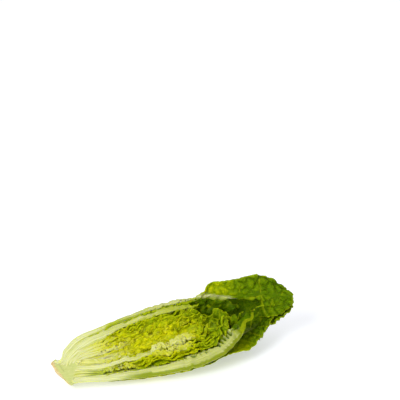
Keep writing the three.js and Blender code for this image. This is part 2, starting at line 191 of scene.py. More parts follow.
# ---------------------------------------------------------------- the leaves
# green: from the yellow heart, 0, to a dark outer leaf, 1. wave: how far the blade is crinkled, in mm.
LEAVES = [
    dict(name="leaf_outer_bottom", rib=-30, lo=46, hi=72, tip=241, depth=[[-90, .019], [90, .019]], stem=0.0, grid=(216, 84), free="bottom", green=.80, wave=.5),
    dict(name="leaf_outer_front", rib=22, lo=58, hi=54, tip=220, depth=[[-40, .088], [42, .087], [50, .074], [62, .03], [80, 0.0]], stem=0.0, grid=(200, 60), free="front", green=.74, wave=.6),
    dict(name="leaf_wrap_front", rib=32, lo=40, hi=34, tip=176, depth=[[-90, .152], [90, .152]], stem=0.0, grid=(110, 36), green=.5, wave=.6),
    dict(name="leaf_outer_back", rib=-88, lo=60, hi=72, tip=238.2, depth=[[-90, .055], [-76, .09], [-45, .143], [-16, .147]], stem=.055, grid=(236, 90), free="back", green=.92, wave=.6),
    dict(name="leaf_front_band", rib=84, lo=104, hi=60, tip=206, depth=[[-20, .207], [10, .25], [30, .30], [50, .36], [60, .372], [70, .335], [80, .215], [90, .105]], stem=.10, grid=(210, 76), green=.55, wave=1.0),
    dict(name="leaf_wrap_back", rib=-48, lo=60, hi=20, tip=186, depth=[[-90, .150], [-76, .162], [-60, .182], [-45, .203], [-26, .207]], stem=0.0, grid=(170, 44), green=.52, wave=1.5),
    dict(name="leaf_back_rib", rib=-86, lo=60, hi=64, tip=149, depth=[[-90, .245], [-60, .255], [-45, .265], [-22, .269]], stem=.06, grid=(150, 44), green=.36, wave=1.0),
    dict(name="leaf_front_fold", rib=40, lo=54, hi=80, tip=186, depth=[[-14, .286], [0, .31], [30, .385], [50, .44], [60, .448], [70, .428], [80, .35], [90, .265]], stem=0.0, grid=(190, 50), green=.42, wave=1.8),
    dict(name="heart_leaf_01", rib=-22, lo=90, hi=70, tip=150, depth=[[-90, .338], [-60, .33], [-40, .33], [0, .35], [30, .395], [48, .40]], stem=0.0, grid=(170, 46), green=0.4, wave=2.0),
    dict(name="heart_leaf_02", rib=62, lo=66, hi=70, tip=170, depth=[[-5, .413], [0, .416], [30, .458], [50, .488], [60, .49], [70, .47], [80, .398], [90, .32]], stem=0.0, grid=(180, 46), green=0.42, wave=2.0),
    dict(name="heart_leaf_03", rib=-68, lo=60, hi=53, tip=147, depth=[[-90, .398], [-14, .402]], stem=0.0, grid=(160, 40), green=0.32, wave=2.1),
    dict(name="heart_leaf_04", rib=14, lo=120, hi=96, tip=175, depth=[[-90, .458], [-14, .462], [0, .479], [30, .517], [50, .533], [60, .532], [70, .512], [80, .446], [90, .38]], stem=0.0, grid=(180, 58), green=0.34, wave=2.1),
    dict(name="heart_leaf_05", rib=-74, lo=60, hi=82, tip=146, depth=[[-90, .518], [-14, .522], [10, .546]], stem=0.0, grid=(160, 42), green=0.24, wave=2.1),
    dict(name="heart_leaf_06", rib=60, lo=40, hi=70, tip=169, depth=[[20, .574], [30, .579], [50, .583], [60, .576], [70, .556], [80, .498], [90, .44]], stem=0.0, grid=(175, 40), green=0.3, wave=2.1),
    dict(name="heart_leaf_07", rib=4, lo=120, hi=104, tip=167, depth=[[-90, .58], [-14, .584], [10, .612], [30, .636], [50, .639], [60, .625], [70, .600], [80, .55], [90, .5]], stem=0.0, grid=(170, 54), green=0.22, wave=2.1),
    dict(name="heart_leaf_08", rib=72, lo=34, hi=60, tip=160, depth=[[38, .704], [60, .688], [70, .65], [80, .60], [90, .562]], stem=0.0, grid=(170, 38), green=0.24, wave=2.0),
    dict(name="heart_leaf_front_rib", rib=86, lo=94, hi=60, tip=152, depth=[[-8, .69], [20, .715], [30, .754], [60, .75], [70, .712], [80, .664], [90, .63]], stem=.05, grid=(160, 44), green=.12, wave=2.0),
    dict(name="heart_leaf_09", rib=-66, lo=60, hi=48, tip=143, depth=[[-90, .642], [-16, .646]], stem=0.0, grid=(150, 38), green=.12, wave=2.0),
    dict(name="heart_leaf_10", rib=-40, lo=100, hi=100, tip=151, depth=[[-90, .705], [-18, .71], [0, .76], [30, .803], [60, .8]], stem=0.0, grid=(155, 42), green=.1, wave=2.0),
    dict(name="heart_leaf_11", rib=52, lo=80, hi=80, tip=156, depth=[[-30, .79], [0, .822], [30, .865], [60, .863], [72, .79], [80, .748], [90, .715]], stem=0.0, grid=(160, 42), green=.1, wave=1.9),
    dict(name="heart_leaf_12", rib=-80, lo=60, hi=44, tip=140, depth=[[-90, .785], [-60, .785], [-36, .80]], stem=0.0, grid=(145, 36), green=.08, wave=1.9),
    dict(name="heart_leaf_13", rib=6, lo=130, hi=130, tip=146, depth=[[-90, .868], [-36, .872], [-10, .892], [30, .925], [60, .922], [76, .86], [90, .80]], stem=0.0, grid=(150, 42), green=.06, wave=1.6),
]


def ring(x, pts):
    return x, [(-r * math.sin(a * DEG), -r * math.cos(a * DEG)) for a, r in pts]


FREE = dict(
    bottom=[
        ring(168, [(-72, 32.6), (-43, 34.8), (-14, 35.6), (15, 35.4), (43, 35)]),
        ring(187, [(-62, 30), (-37, 32.6), (-11, 33.8), (14, 34), (39, 33.8)]),
        ring(206, [(-52, 26.5), (-31, 29.6), (-11, 31), (9, 31.4), (29, 30.6)]),
        ring(222, [(-40, 24), (-24, 26.4), (-6, 27.4), (12, 27), (29, 25.6)]),
        ring(233, [(-28, 21), (-14, 22.4), (2, 22.4), (18, 21.2), (33, 19.6)]),
        ring(241, [(-14, 17), (-5, 17.6), (4, 17.4), (14, 16.4), (23, 15)]),
    ],
    front=[
        ring(166, [(-34, 30), (-6, 30.8), (20, 30.8), (46, 32), (74, 37.6)]),
        ring(179, [(-30, 28.8), (-7, 29.8), (16, 30.2), (38, 30.8), (62, 38.4)]),
        ring(195, [(-18, 26.2), (0, 27.6), (17, 28.2), (35, 28.8), (52, 33)]),
        ring(210, [(-8, 23.4), (3, 24.8), (13, 25.4), (24, 25.6), (35, 25.4)]),
        ring(220, [(4, 21.6), (8, 22), (12, 22.2), (16, 22), (20, 21.8)]),
    ],
    back=[
        (166, [(36.3, 6.5), (29, -1), (22.5, -12.5), (14.5, -23), (7.5, -27)]),
        (178, [(31, 12.5), (21.8, 1), (18.7, -10.5), (14.4, -18.4), (6, -24.6)]),
        (190, [(27, 14), (15.8, 2), (13.5, -8), (10, -16), (2, -22.4)]),
        (202, [(26, 13.5), (11, 3), (8.5, -6), (5, -14), (-2, -20.6)]),
        (214, [(24, 11.5), (7, 3), (4, -5), (1, -12.3), (-4.8, -19)]),
        (226, [(15.3, 7.4), (2.5, 2.5), (0, -4), (-3, -10.6), (-7.4, -17)]),
        (234, [(4.8, 2.8), (-1.8, 0.2), (-3.4, -3.6), (-5.4, -7.4), (-7.2, -10.6)]),
        (240, [(-4.4, -3.2), (-5, -4.4), (-5.8, -5.8), (-6.4, -7.2), (-6.9, -8.6)]),
    ],
)

for k, leaf in enumerate(LEAVES):
    leaf["id"] = k
    leaf["depth_at"] = curve([p[0] for p in leaf["depth"]], [p[1] for p in leaf["depth"]])


def cad_share(leaf, a, s):
    near = np.exp(-(((a - leaf["rib"]) / mix(17, 8, s)) ** 2))
    return BLADE + leaf["stem"] * near * (1 - 0.75 * s**1.5)


def edge_angles(leaf, s):
    w = width_at(s)
    return leaf["rib"] - leaf["lo"] * w, leaf["rib"] + leaf["hi"] * w


def foot_and_length(leaf):
    r = float(np.clip(leaf["rib"], -90, 90))
    foot = float(foot_at(np.array(r), leaf["depth_at"](r) + cad_share(leaf, r, 0.0) / 2))
    return foot, 205.0 if leaf.get("free") else float(leaf["tip"])


def catmull(n, t):
    """Indices and weights of a smooth curve through n evenly numbered points."""
    i = np.clip(np.floor(t).astype(int), 0, n - 2)
    u = t - i
    w = np.stack([-u + 2 * u**2 - u**3, 2 - 5 * u**2 + 3 * u**3, u + 4 * u**2 - 3 * u**3, -u**2 + u**3], -1) * 0.5
    idx = np.stack([np.clip(i + d, 0, n - 1) for d in (-1, 0, 1, 2)], -1)
    return idx, w


def free_middle(leaf, x, v):
    """The middle surface of a free tip at stations x and places v across."""
    net = FREE[leaf["free"]]
    foot, length = foot_and_length(leaf)
    xs = [JOIN[0] - 15, JOIN[0], JOIN[1]] + [r[0] for r in net]
    rows = []
    for X in xs[:3]:
        s = np.clip((X - foot) / (length - foot), 0, 0.7)
        a0, a1 = edge_angles(leaf, s)
        a = mix(max(-90, float(a0)), min(90, float(a1)), np.linspace(0, 1, 5))
        p = polar(np.full(5, X), a, layer_radius(np.full(5, X), a, leaf["depth_at"](a)))
        rows.append(p[:, 1:])
    grid = np.array(rows + [np.array(r[1]) for r in net])
    xs = np.array(xs[1:], float)
    k = np.clip(np.searchsorted(xs, x, side="left") - 1, 0, len(xs) - 2)
    t = k + (x - xs[k]) / (xs[k + 1] - xs[k]) + 1
    ii, wi = catmull(len(grid), t)
    jj, wj = catmull(5, (v + 1) * 2)
    yz = np.einsum("...i,...j,...ijc->...c", wi, wj, grid[ii[..., :, None], jj[..., None, :]])
    return np.concatenate([x[..., None], yz], -1)


# ---------------------------------------------------------------- where each crinkled blade runs
# One field of depth per leaf over the same (x, a) net. The blades are crinkled one by one and then pushed
# apart wherever two would meet, so that they press against each other as leaves in a head do.
FX = np.linspace(0, 210, 264)
FA = np.linspace(-90, 90, 151)
GX, GA = np.meshgrid(FX, FA, indexing="ij")


# thick midribs that the knife laid open: half their thickness along the leaf, their middle angle and their width in mm
RIBS = {
    "leaf_front_band": (curve([3, 15, 30, 60, 90, 104, 117, 132, 150, 170, 184, 206], [1.3, 2.2, 3.0, 3.4, 3.9, 4.6, 5.5, 5.0, 4.1, 3.3, 1.4, 0.4]), 92, 10.0),
    "leaf_outer_back": (curve([3, 20, 34, 45, 61, 100, 135, 150, 240], [1.3, 1.9, 2.2, 1.9, 1.3, 1.4, 1.2, 1.0, 0.5]), -92, 7.0),
    "leaf_back_rib": (curve([5, 20, 35, 45, 60, 75, 100, 130, 150], [1.2, 2.0, 3.4, 3.9, 3.0, 2.2, 2.0, 1.9, 1.6]), -92, 6.5),
    "heart_leaf_front_rib": (curve([14, 30, 60, 84, 100, 152], [0.9, 1.7, 1.8, 1.2, 0.4, 0.2]), 92, 5.5),
}
# how the depth of a leaf drifts along the head
DRIFT = {
    "leaf_front_band": curve([60, 90, 104, 117, 132, 150, 170], [0, 0.0, 0.016, 0.034, 0.022, 0.006, 0]),
    "leaf_back_rib": curve([5, 25, 45, 60, 75, 100, 130, 150], [0, 0.025, 0.045, -0.01, -0.03, 0.012, 0.025, 0.02]),
    "leaf_outer_back": curve([5, 20, 34, 50, 65, 100], [0, 0.012, 0.022, 0.01, -0.008, 0]),
    "heart_leaf_front_rib": curve([14, 32, 50, 68, 84, 100], [0, 0.03, 0.02, -0.02, -0.045, -0.02]),
}


def half_blade(leaf, x, a, s):
    """Half the leaf's thickness in mm."""
    R = head_radius(stretched(x, leaf["depth_at"](a)), a)
    outer = leaf.get("free") is not None
    blade = 0.38 if outer else 0.33
    stem = 0.0
    if leaf["name"] in RIBS:
        size, angle, wide = RIBS[leaf["name"]]
        arc = np.abs(a - angle) * DEG * np.maximum(R * (1 - leaf["depth_at"](a)), 6)
        stem = size(x) * np.exp(-((arc / mix(wide, wide * 0.6, s)) ** 2))
    soft = (1 - smooth(20, 56, x)) * (0.019 * R + 0.14)
    rib = 0.9 * np.exp(-(((a - leaf["rib"]) * DEG * np.maximum(R * (1 - leaf["depth_at"](a)), 6) / mix(7, 2, s)) ** 2)) * (1 - s)
    return blade + stem + np.maximum(soft, rib if leaf["stem"] == 0 else 0)


def build_fields():
    F, E, H, base = [], [], [], []
    for leaf in LEAVES:
        k = leaf["id"]
        f0 = leaf["depth_at"](GA)
        if leaf["name"] == "leaf_front_band":
            f0 = mix(f0, np.minimum(f0, 0.105 + 0.0012 * (90 - GA)), 0.9 * smooth(156, 176, GX))
        if leaf["name"] in DRIFT:
            f0 = f0 + DRIFT[leaf["name"]](GX) * np.exp(-((np.minimum(np.abs(GA - 90), np.abs(GA + 90)) / 40) ** 2))
        R = head_radius(stretched(GX, f0), GA)
        r = np.maximum(R * (1 - f0), 2.0)
        foot, length = foot_and_length(leaf)
        s = np.clip((GX - foot) / (length - foot), 0, 1)
        if leaf.get("free"):
            s = np.minimum(s, 0.7)
        a0, a1 = edge_angles(leaf, s)
        inside = np.minimum((GA - np.maximum(a0, -200)) * DEG * r, (a1 - GA) * DEG * r)
        inside = np.minimum(inside, np.minimum(GX - foot + 2, leaf["tip"] - GX))
        soft = np.clip(inside / 6 + 0.3, 0, 1)
        across = (GA - leaf["rib"]) * DEG * r
        # corrugation along the side veins, which leave the midrib at about 45 degrees
        q = (GX * 0.72 - np.abs(across) * 0.62) / 6.6
        swing = noise(GX / 17, across / 17, k * 7.7) * 2.6
        vein = np.sin(q * 2 * math.pi * 0.5 + swing * 2 + k * 1.9)
        rough = noise(GX / 8.5, across / 8.5, k * 5.3 + 40) * 0.9 + noise(GX / 4.4, across / 4.4, k * 3.1 + 90) * 0.75
        d = 0.36 * vein + 1.05 * rough
        size = leaf["wave"] * smooth(20, 56, GX)
        if leaf["stem"]:
            ends = (0.42, 0.58) if leaf["name"] == "heart_leaf_front_rib" else (0.75, 1.0)
            size = size * (1 - 0.9 * np.exp(-(((GA - leaf["rib"]) / mix(20, 9, s)) ** 2)) * (1 - smooth(*ends, s)))
        size = size * (1 + 0.5 * smooth(0.72, 1.0, s)) * (1 if not leaf.get("free") else (1 - smooth(JOIN[0] - 14, JOIN[1], GX)))
        F.append(f0 + d * size / np.maximum(R, 8))
        base.append(leaf["depth_at"](GA))
        E.append(soft)
        H.append(half_blade(leaf, GX, GA, s))
    R = head_radius(GX, GA)
    fade = smooth(20, 30, GX)
    n = len(LEAVES)
    for sweep in range(14):
        for i in range(n):
            for j in range(i + 1, n):
                order = np.sign(base[j] - base[i])
                if np.abs(base[j] - base[i]).min() > 0.17:
                    continue
                need = (H[i] + H[j] + 0.12) / np.maximum(R, 8) - 1.0 * (1 - np.minimum(E[i], E[j]))
                thick = LEAVES[i]["name"] in RIBS or LEAVES[j]["name"] in RIBS
                need = np.minimum(need, np.abs(base[j] - base[i]) * (1.8 if thick else 0.97))
                lack = need - order * (F[j] - F[i])
                push = np.clip(lack, 0, 0.05) * 0.5 * fade
                stiff_i, stiff_j = LEAVES[i]["stem"] > 0 or LEAVES[i]["id"] < 3, LEAVES[j]["stem"] > 0 or LEAVES[j]["id"] < 3
                wi, wj = (0.5, 1.5) if stiff_i and not stiff_j else (1.5, 0.5) if stiff_j and not stiff_i else (1, 1)
                F[i] = F[i] - order * push * wi
                F[j] = F[j] + order * push * wj
    # in the fleshy base the leaves are plump and touch; further up they stand a little apart
    there = np.array(E) > 0.32
    deep = np.where(there, np.array(F), 9.0)
    turn = np.argsort(deep, axis=0)
    thick = np.array(H)
    plump = [np.zeros_like(deep), np.zeros_like(deep)]
    radii = np.array([layer_radius(GX, GA, g) for g in F])
    for q in range(n - 1):
        i, j = turn[q][None], turn[q + 1][None]
        fi, fj = np.take_along_axis(deep, i, 0), np.take_along_axis(deep, j, 0)
        room = np.take_along_axis(radii, i, 0) - np.take_along_axis(radii, j, 0)
        room = np.where(fj < 5, room - np.take_along_axis(thick, i, 0) - np.take_along_axis(thick, j, 0), 0.0)
        amount = np.maximum(1 - np.where(GA > 40, smooth(46, 82, GX), smooth(34, 66, GX)), 0.16)
        amount = np.maximum(amount, (fi < 0.2) * smooth(64, 78, -GA) * (1 - smooth(138, 152, GX)))
        amount = np.maximum(amount, 0.7 * smooth(40, 66, GA) * smooth(40, 56, GX) * (1 - smooth(122, 142, GX)) * (fi > 0.4))
        extra = 0.5 * np.clip(room - mix(0.02, 0.12, smooth(24, 60, GX)), 0, mix(5.0, 2.4, smooth(30, 60, GX))) * amount
        np.put_along_axis(plump[1], i, np.take_along_axis(plump[1], i, 0) + extra, 0)
        np.put_along_axis(plump[0], j, np.take_along_axis(plump[0], j, 0) + extra, 0)
    for g in plump:
        g *= np.clip((np.array(E) - 0.3) / 0.6, 0, 1)
        for _ in range(2):
            g[:, 1:-1] = (g[:, :-2] + 2 * g[:, 1:-1] + g[:, 2:]) / 4
            g[:, :, 1:-1] = (g[:, :, :-2] + 2 * g[:, :, 1:-1] + g[:, :, 2:]) / 4
    return F, plump[0], plump[1]


FIELD, PLUMP_OUT, PLUMP_IN = build_fields()


def depth_field(leaf, x, a, field=None):
    G = (FIELD if field is None else field)[leaf["id"]]
    u = np.clip((x - FX[0]) / (FX[1] - FX[0]), 0, len(FX) - 1.001)
    w = np.clip((a - FA[0]) / (FA[1] - FA[0]), 0, len(FA) - 1.001)
    i, j = u.astype(int), w.astype(int)
    fu, fw = u - i, w - j
    return ((G[i, j] * (1 - fw) + G[i, j + 1] * fw) * (1 - fu) + (G[i + 1, j] * (1 - fw) + G[i + 1, j + 1] * fw) * fu)


def warp(p, f):
    """A smooth bend of the whole inside of the head, the same for every leaf, so that nested leaves stay nested."""
    x, y, z = p[..., 0], p[..., 1], p[..., 2]
    inside = smooth(0.16, 0.42, f) * smooth(28, 80, x)
    low = smooth(0, 9, -z)
    fine = 1 - 0.8 * smooth(128, 148, x)
    wx = noise(x / 21, y / 21, z / 21 + 3) * 3.0 + noise(x / 8.5, y / 8.5, z / 9 + 13) * 1.7 * fine
    wy = noise(x / 19 + 9, y / 19, z / 19 + 5) * 2.6 + noise(x / 8 + 5, y / 8, z / 9 + 23) * 1.6 * fine
    wz = noise(x / 19 + 4, y / 19 + 7, z / 19) * 1.6
    out = p.copy()
    out[..., 0] += wx * inside
    out[..., 1] += wy * inside
    out[..., 2] += wz * inside * low
    # near the knife's plane every blade leans towards the back edge
    lean = (3.4 + 2.4 * noise(x / 17 + 2, y / 17, 7.5)) * smooth(0.22, 0.46, f) * smooth(38, 90, x) * (1 - 0.6 * smooth(150, 190, x))
    out[..., 1] += lean * (np.exp(z / 5.0) - 0.45)
    # the core's point leans a little towards the back edge
    out[..., 1] += 4.6 * np.exp(-(((x - 19) / 13) ** 2)) * np.exp(-((y / 11) ** 2))
    return out


# how far the back edge is drawn in where the leaves spring from the bare stem
WAIST = curve([0, 1.5, 4, 7, 9, 11.3, 13.5, 17.6, 22.4, 27, 34], [1, 0.92, 0.79, 0.71, 0.765, 0.85, 0.92, 0.94, 0.965, 0.98, 1])


def waist(v):
    near = smooth(0.45, 0.98, v[:, 1] / np.maximum(np.hypot(v[:, 1], v[:, 2]), 1e-6))
    v[:, 1] = v[:, 1] * mix(1, WAIST(v[:, 0]), near)
    return v


def columns(n, dense_lo, dense_hi):
    t = np.linspace(-1, 1, 2001)
    rho = 1 + 2.6 * dense_hi * np.exp(-(1 - t) / 0.16) + 2.6 * dense_lo * np.exp(-(1 + t) / 0.16)
    c = np.concatenate([[0], np.cumsum((rho[1:] + rho[:-1]) / 2)])
    return np.interp(np.linspace(0, c[-1], n + 1), c, t)


def unit(v):
    return v / np.maximum(np.linalg.norm(v, axis=-1, keepdims=True), 1e-9)


# ---------------------------------------------------------------- meshes
def make_mesh(name, verts, quads, attrs, tris=()):
    """verts in the head's frame, in mm."""
    v = verts.copy()
    if not name.endswith("core"):
        v = waist(v)
    v[:, 0] += slant(v[:, 0], v[:, 1], v[:, 2])
    v = v @ LAY.T + OFFSET
    low = attrs.pop("floor")
    v[:, 2] = np.where(v[:, 2] < low + 0.9, low + 0.3 * np.log1p(np.exp(np.clip((v[:, 2] - low - 0.12) / 0.3, -30, 30))) * np.ones(len(v)), v[:, 2])
    me = bpy.data.meshes.new(name)
    me.vertices.add(len(v))
    me.vertices.foreach_set("co", (v / 1000).astype(np.float32).ravel())
    loops = np.concatenate([quads.ravel(), np.array(tris, int).ravel()]) if len(tris) else quads.ravel()
    sizes = np.concatenate([np.full(len(quads), 4), np.full(len(tris), 3)])
    me.loops.add(len(loops))
    me.loops.foreach_set("vertex_index", loops.astype(np.int32))
    me.polygons.add(len(sizes))
    me.polygons.foreach_set("loop_start", np.concatenate([[0], np.cumsum(sizes)[:-1]]).astype(np.int32))
    me.update(calc_edges=True)
    me.polygons.foreach_set("use_smooth", np.ones(len(sizes), bool))
    for key, value in attrs.items():
        if value.ndim == 2:
            at = me.attributes.new(key, "FLOAT_VECTOR", "POINT")
            at.data.foreach_set("vector", value.astype(np.float32).ravel())
        else:
            at = me.attributes.new(key, "FLOAT", "POINT")
            at.data.foreach_set("value", value.astype(np.float32).ravel())
    me.validate()
    ob = bpy.data.objects.new(name, me)
    bpy.context.scene.collection.objects.link(ob)
    return ob


def signed_volume(v, quads):
    a, b, c, d = (v[quads[:, i]] for i in range(4))
    return float((np.einsum("ij,ij->i", a, np.cross(b, c)) + np.einsum("ij,ij->i", a, np.cross(c, d))).sum())


# how far along the fleshy, pale foot of each leaf reaches
FLESHY = {
    "leaf_front_fold": (14, 30), "heart_leaf_02": (14, 30), "heart_leaf_04": (16, 36), "heart_leaf_06": (18, 32),
    "heart_leaf_07": (18, 40), "heart_leaf_08": (20, 34), "leaf_wrap_back": (3, 15),
    "heart_leaf_01": (24, 54), "heart_leaf_03": (24, 56), "heart_leaf_05": (26, 58), "heart_leaf_09": (26, 58),
    "heart_leaf_10": (28, 60), "heart_leaf_11": (28, 60), "heart_leaf_12": (28, 68), "heart_leaf_13": (28, 60), "leaf_wrap_front": (20, 60),
    "leaf_outer_bottom": (30, 90), "leaf_outer_front": (26, 70), "leaf_outer_back": (40, 120), "leaf_front_band": (60, 150),
    "leaf_back_rib": (40, 90),
}


# over which stretch a blade's cut edge folds over: from, to, how far towards the back edge, how high it stands
CURLED = {
    "heart_leaf_front_rib": [(85, 138, 7.6, 0.8, 1.3)],
    "heart_leaf_11": [(80, 128, 1.5, -3.6, 0.0)],
    "heart_leaf_13": [(84, 124, 0.6, -2.2, 0.0)],
    "heart_leaf_08": [(84, 120, 2.2, 0.5, 1.2), (126, 158, 3.0, 0.2, 0.8)],
    "heart_leaf_06": [(66, 130, 2.8, 0.6, 1.0)],
    "heart_leaf_07": [(64, 108, 1.0, -2.8, 0.3)],
    "heart_leaf_04": [(36, 66, 2.0, 1.4, 0.9), (70, 100, 1.8, 0.3, 0.9), (100, 142, 3.2, 0.1, 0.9)],
    "heart_leaf_02": [(34, 70, 2.6, 2.0, 1.3), (74, 104, 2.0, -0.1, 0.9)],
}
# lines on the free lobe of the back leaf, each a run of (x, distance across, half width) in mm
LOBE_RIB = [[(150, -6.6, 1.7), (155, -4.9, 1.8), (161, -1.0, 1.9), (167, 1.7, 2.0), (173, 2.5, 1.8), (180, 2.4, 1.5), (187, 3.8, 0.5)]]
LOBE_VEINS = [
    [(213, -17, 0.5), (210.8, -9.9, 0.7), (209.7, -4.1, 0.75), (209.1, 2.4, 0.8), (210, 10.3, 0.75), (210.6, 17.7, 0.6), (211.3, 26.2, 0.4)],
    [(209.1, 1.2, 0.7), (213.8, 0.2, 0.6), (220.3, -1.2, 0.4)],
    [(219.5, 3.0, 0.3), (218.6, 8.3, 0.6), (216.5, 15, 0.6), (214.5, 21.5, 0.4)],
    [(192.5, -10, 0.6), (190.3, -3.4, 0.5)],
    [(178, -6.5, 0.5), (178.1, -1.7, 0.5)],
    [(230.5, -6, 0.3), (227, 0.5, 0.5), (224.5, 8, 0.4)],
    [(187.5, 4.2, 0.4), (193.5, 4.0, 0.8), (198.5, 2.9, 1.0), (203.3, 3.0, 0.8), (208.2, 1.4, 0.5)],
]
# patches of painted light on the lobe, where it faces the lamp: runs of (x, distance across, half width) in mm
LOBE_PAINTED_LIGHT = [[(152, -9, 5), (166, -6, 5), (178, -8, 4), (186, -4, 4)], [(196, -10, 4), (204, -8, 4)], [(222, 11, 3), (226, 12, 3)]]


def strokes(x, y, lines):
    """1 on the given lines, fading to 0 over their half widths."""
    best = np.zeros_like(x)
    for line in lines:
        for (x0, y0, w0), (x1, y1, w1) in zip(line[:-1], line[1:]):
            dx, dy = x1 - x0, y1 - y0
            t = np.clip(((x - x0) * dx + (y - y0) * dy) / (dx * dx + dy * dy), 0, 1)
            d = np.hypot(x - x0 - t * dx, y - y0 - t * dy)
            best = np.maximum(best, np.exp(-((d / (w0 + t * (w1 - w0))) ** 2)))
    return best


def build_leaf(leaf):
    k = leaf["id"]
    nr, nc = leaf["grid"]
    rib, free = leaf["rib"], leaf.get("free")
    foot, length = foot_and_length(leaf)
    reach_lo, reach_hi = rib - leaf["lo"] <= -90, rib + leaf["hi"] >= 90
    v = columns(nc, reach_lo, reach_hi)[None, :] * np.ones((nr + 1, 1))
    u = np.linspace(0, 1, nr + 1)[:, None] * np.ones((1, nc + 1))

    f_a0, f_a1 = edge_angles(leaf, np.array(0.0))
    a_foot = mix(max(-90, float(f_a0)), min(90, float(f_a1)), (v + 1) / 2)
    x_foot = foot_at(a_foot, leaf["depth_at"](a_foot) + cad_share(leaf, a_foot, 0.0) / 2) - 0.9
    root = x_foot
    x_foot = x_foot - 5.0 * smooth(5, 15, x_foot)
    e = mix(u, 0.5 - 0.5 * np.cos(math.pi * u), 0.18)
    rounding = 3.0 if free else 0.045 * (leaf["tip"] - x_foot)
    ragged = (noise(v * 2.3 + 7, k * 3.3, 1.5) * 3.4 + noise(v * 6.5, k * 2.1, 8.5) * 1.5) * smooth(0.6, 1, u)
    if free:
        ragged = ragged * (0.2 if free == "bottom" else 0.35)
    x = mix(x_foot, leaf["tip"] + ragged - rounding * v * v * smooth(0.55, 1, u), e)
    s = np.clip((x - foot) / (length - foot), 0, 1)
    sa = np.minimum(s, 0.7) if free else s
    a0, a1 = edge_angles(leaf, sa)
    cut_lo, cut_hi = a0 <= -90, a1 >= 90
    wob = (0.3 if free == "front" else 1.0) * (noise(x / 9, 3.0 + k, 0.5) + 0.6 * noise(x / 4, 9.0 + k, 0.5)) * 4.5 * smooth(40, 90, x)
    a0 = np.where(cut_lo, -90, np.maximum(a0 + wob * np.clip((a0 + 90) / 12, 0, 1), -90))
    a1 = np.where(cut_hi, 90, np.minimum(a1 + wob * np.clip((90 - a1) / 12, 0, 1), 90))
    if leaf["name"] == "leaf_front_fold":
        a1 = a1 - 30 * smooth(168, 177, x)
    if leaf["name"] in ("heart_leaf_04", "heart_leaf_07"):
        a0 = a0 + 26 * smooth(143, 151, x) * (1 - smooth(157, 165, x) * (leaf["name"] == "heart_leaf_04"))
    a = mix(a0, a1, (v + 1) / 2)

    f = depth_field(leaf, x, a)
    mid = polar(x, a, layer_radius(x, a, f))
    w = np.zeros_like(x)
    if free:
        w = smooth(JOIN[0] - 4, JOIN[1] + 4, x)
        mid = mix(mid, free_middle(leaf, np.maximum(x, JOIN[0]), v), w[..., None])
    mid = warp(mid, leaf["depth_at"](a))
    if leaf["name"] in ("heart_leaf_04", "heart_leaf_07"):
        flare = smooth(148, 176, x) * (1 - smooth(-30, 40, a))
        mid = mid + flare[..., None] * np.array([0, 3.4, 3.4])
    own = smooth(60, 110, x) * (0 if leaf["stem"] or free else 1)
    mid[..., 0] += (noise(mid[..., 0] / 7, k * 5.1, a / 30) * 1.5 + noise(mid[..., 0] / 3.6, k * 5.1, a / 14 + 8) * 0.6) * own
    R = head_radius(stretched(x, leaf["depth_at"](a)), a)
    r = np.maximum(R * (1 - leaf["depth_at"](a)), 3)
    across = np.where(w > 0.5, v * 30, (a - rib) * DEG * r) if not free else (a - rib) * DEG * r
    if free:
        # distance across measured on the surface itself
        step = np.linalg.norm(np.diff(mid, axis=1), axis=2)
        run = np.concatenate([np.zeros((nr + 1, 1)), np.cumsum(step, axis=1)], 1)
        if free == "back":
            v_rib = mix(-1.0, -0.5, smooth(134, 164, x[:, :1])) + 0.25 * smooth(205, 240, x[:, :1])
            at_col = np.array([np.interp(v_rib[i, 0], v[0], run[i]) for i in range(nr + 1)])[:, None]
        mid_col = int(np.argmin(np.abs(v[0] - np.clip((rib - np.clip(rib - leaf["lo"], -90, 90)) / max(1e-3, (min(90, rib + leaf["hi"]) - max(-90, rib - leaf["lo"]))) * 2 - 1, -1, 1))))
        across = run - (at_col if free == "back" else run[:, mid_col:mid_col + 1])

    def normals(P):
        du = np.gradient(P, axis=0)
        dv = np.gradient(P, axis=1)
        n = unit(np.cross(dv, du))
        away = np.concatenate([np.zeros(P.shape[:2] + (1,)), P[..., 1:]], -1)
        if (np.einsum("ijk,ijk->ij", n, away)[: int(nr * 0.6)]).sum() < 0:
            n = -n
        return n

    N = normals(mid)

    # distance in mm from the uncut margins
    lo_free = np.where(cut_lo & (w < 0.5), 99.0, (v + 1) * 0.5)
    hi_free = np.where(cut_hi & (w < 0.5), 99.0, (1 - v) * 0.5)
    wide = np.linalg.norm(np.diff(mid, axis=1), axis=2).sum(1, keepdims=True)
    margin = np.minimum(np.minimum(lo_free, hi_free) * wide, (leaf["tip"] + ragged - rounding * v * v - x) + 0.0)
    margin = np.clip(margin, 0, 99)

    lobe = w > 0.5 if free == "back" else np.zeros_like(x, bool)
    arc = (90 - a) * DEG * r
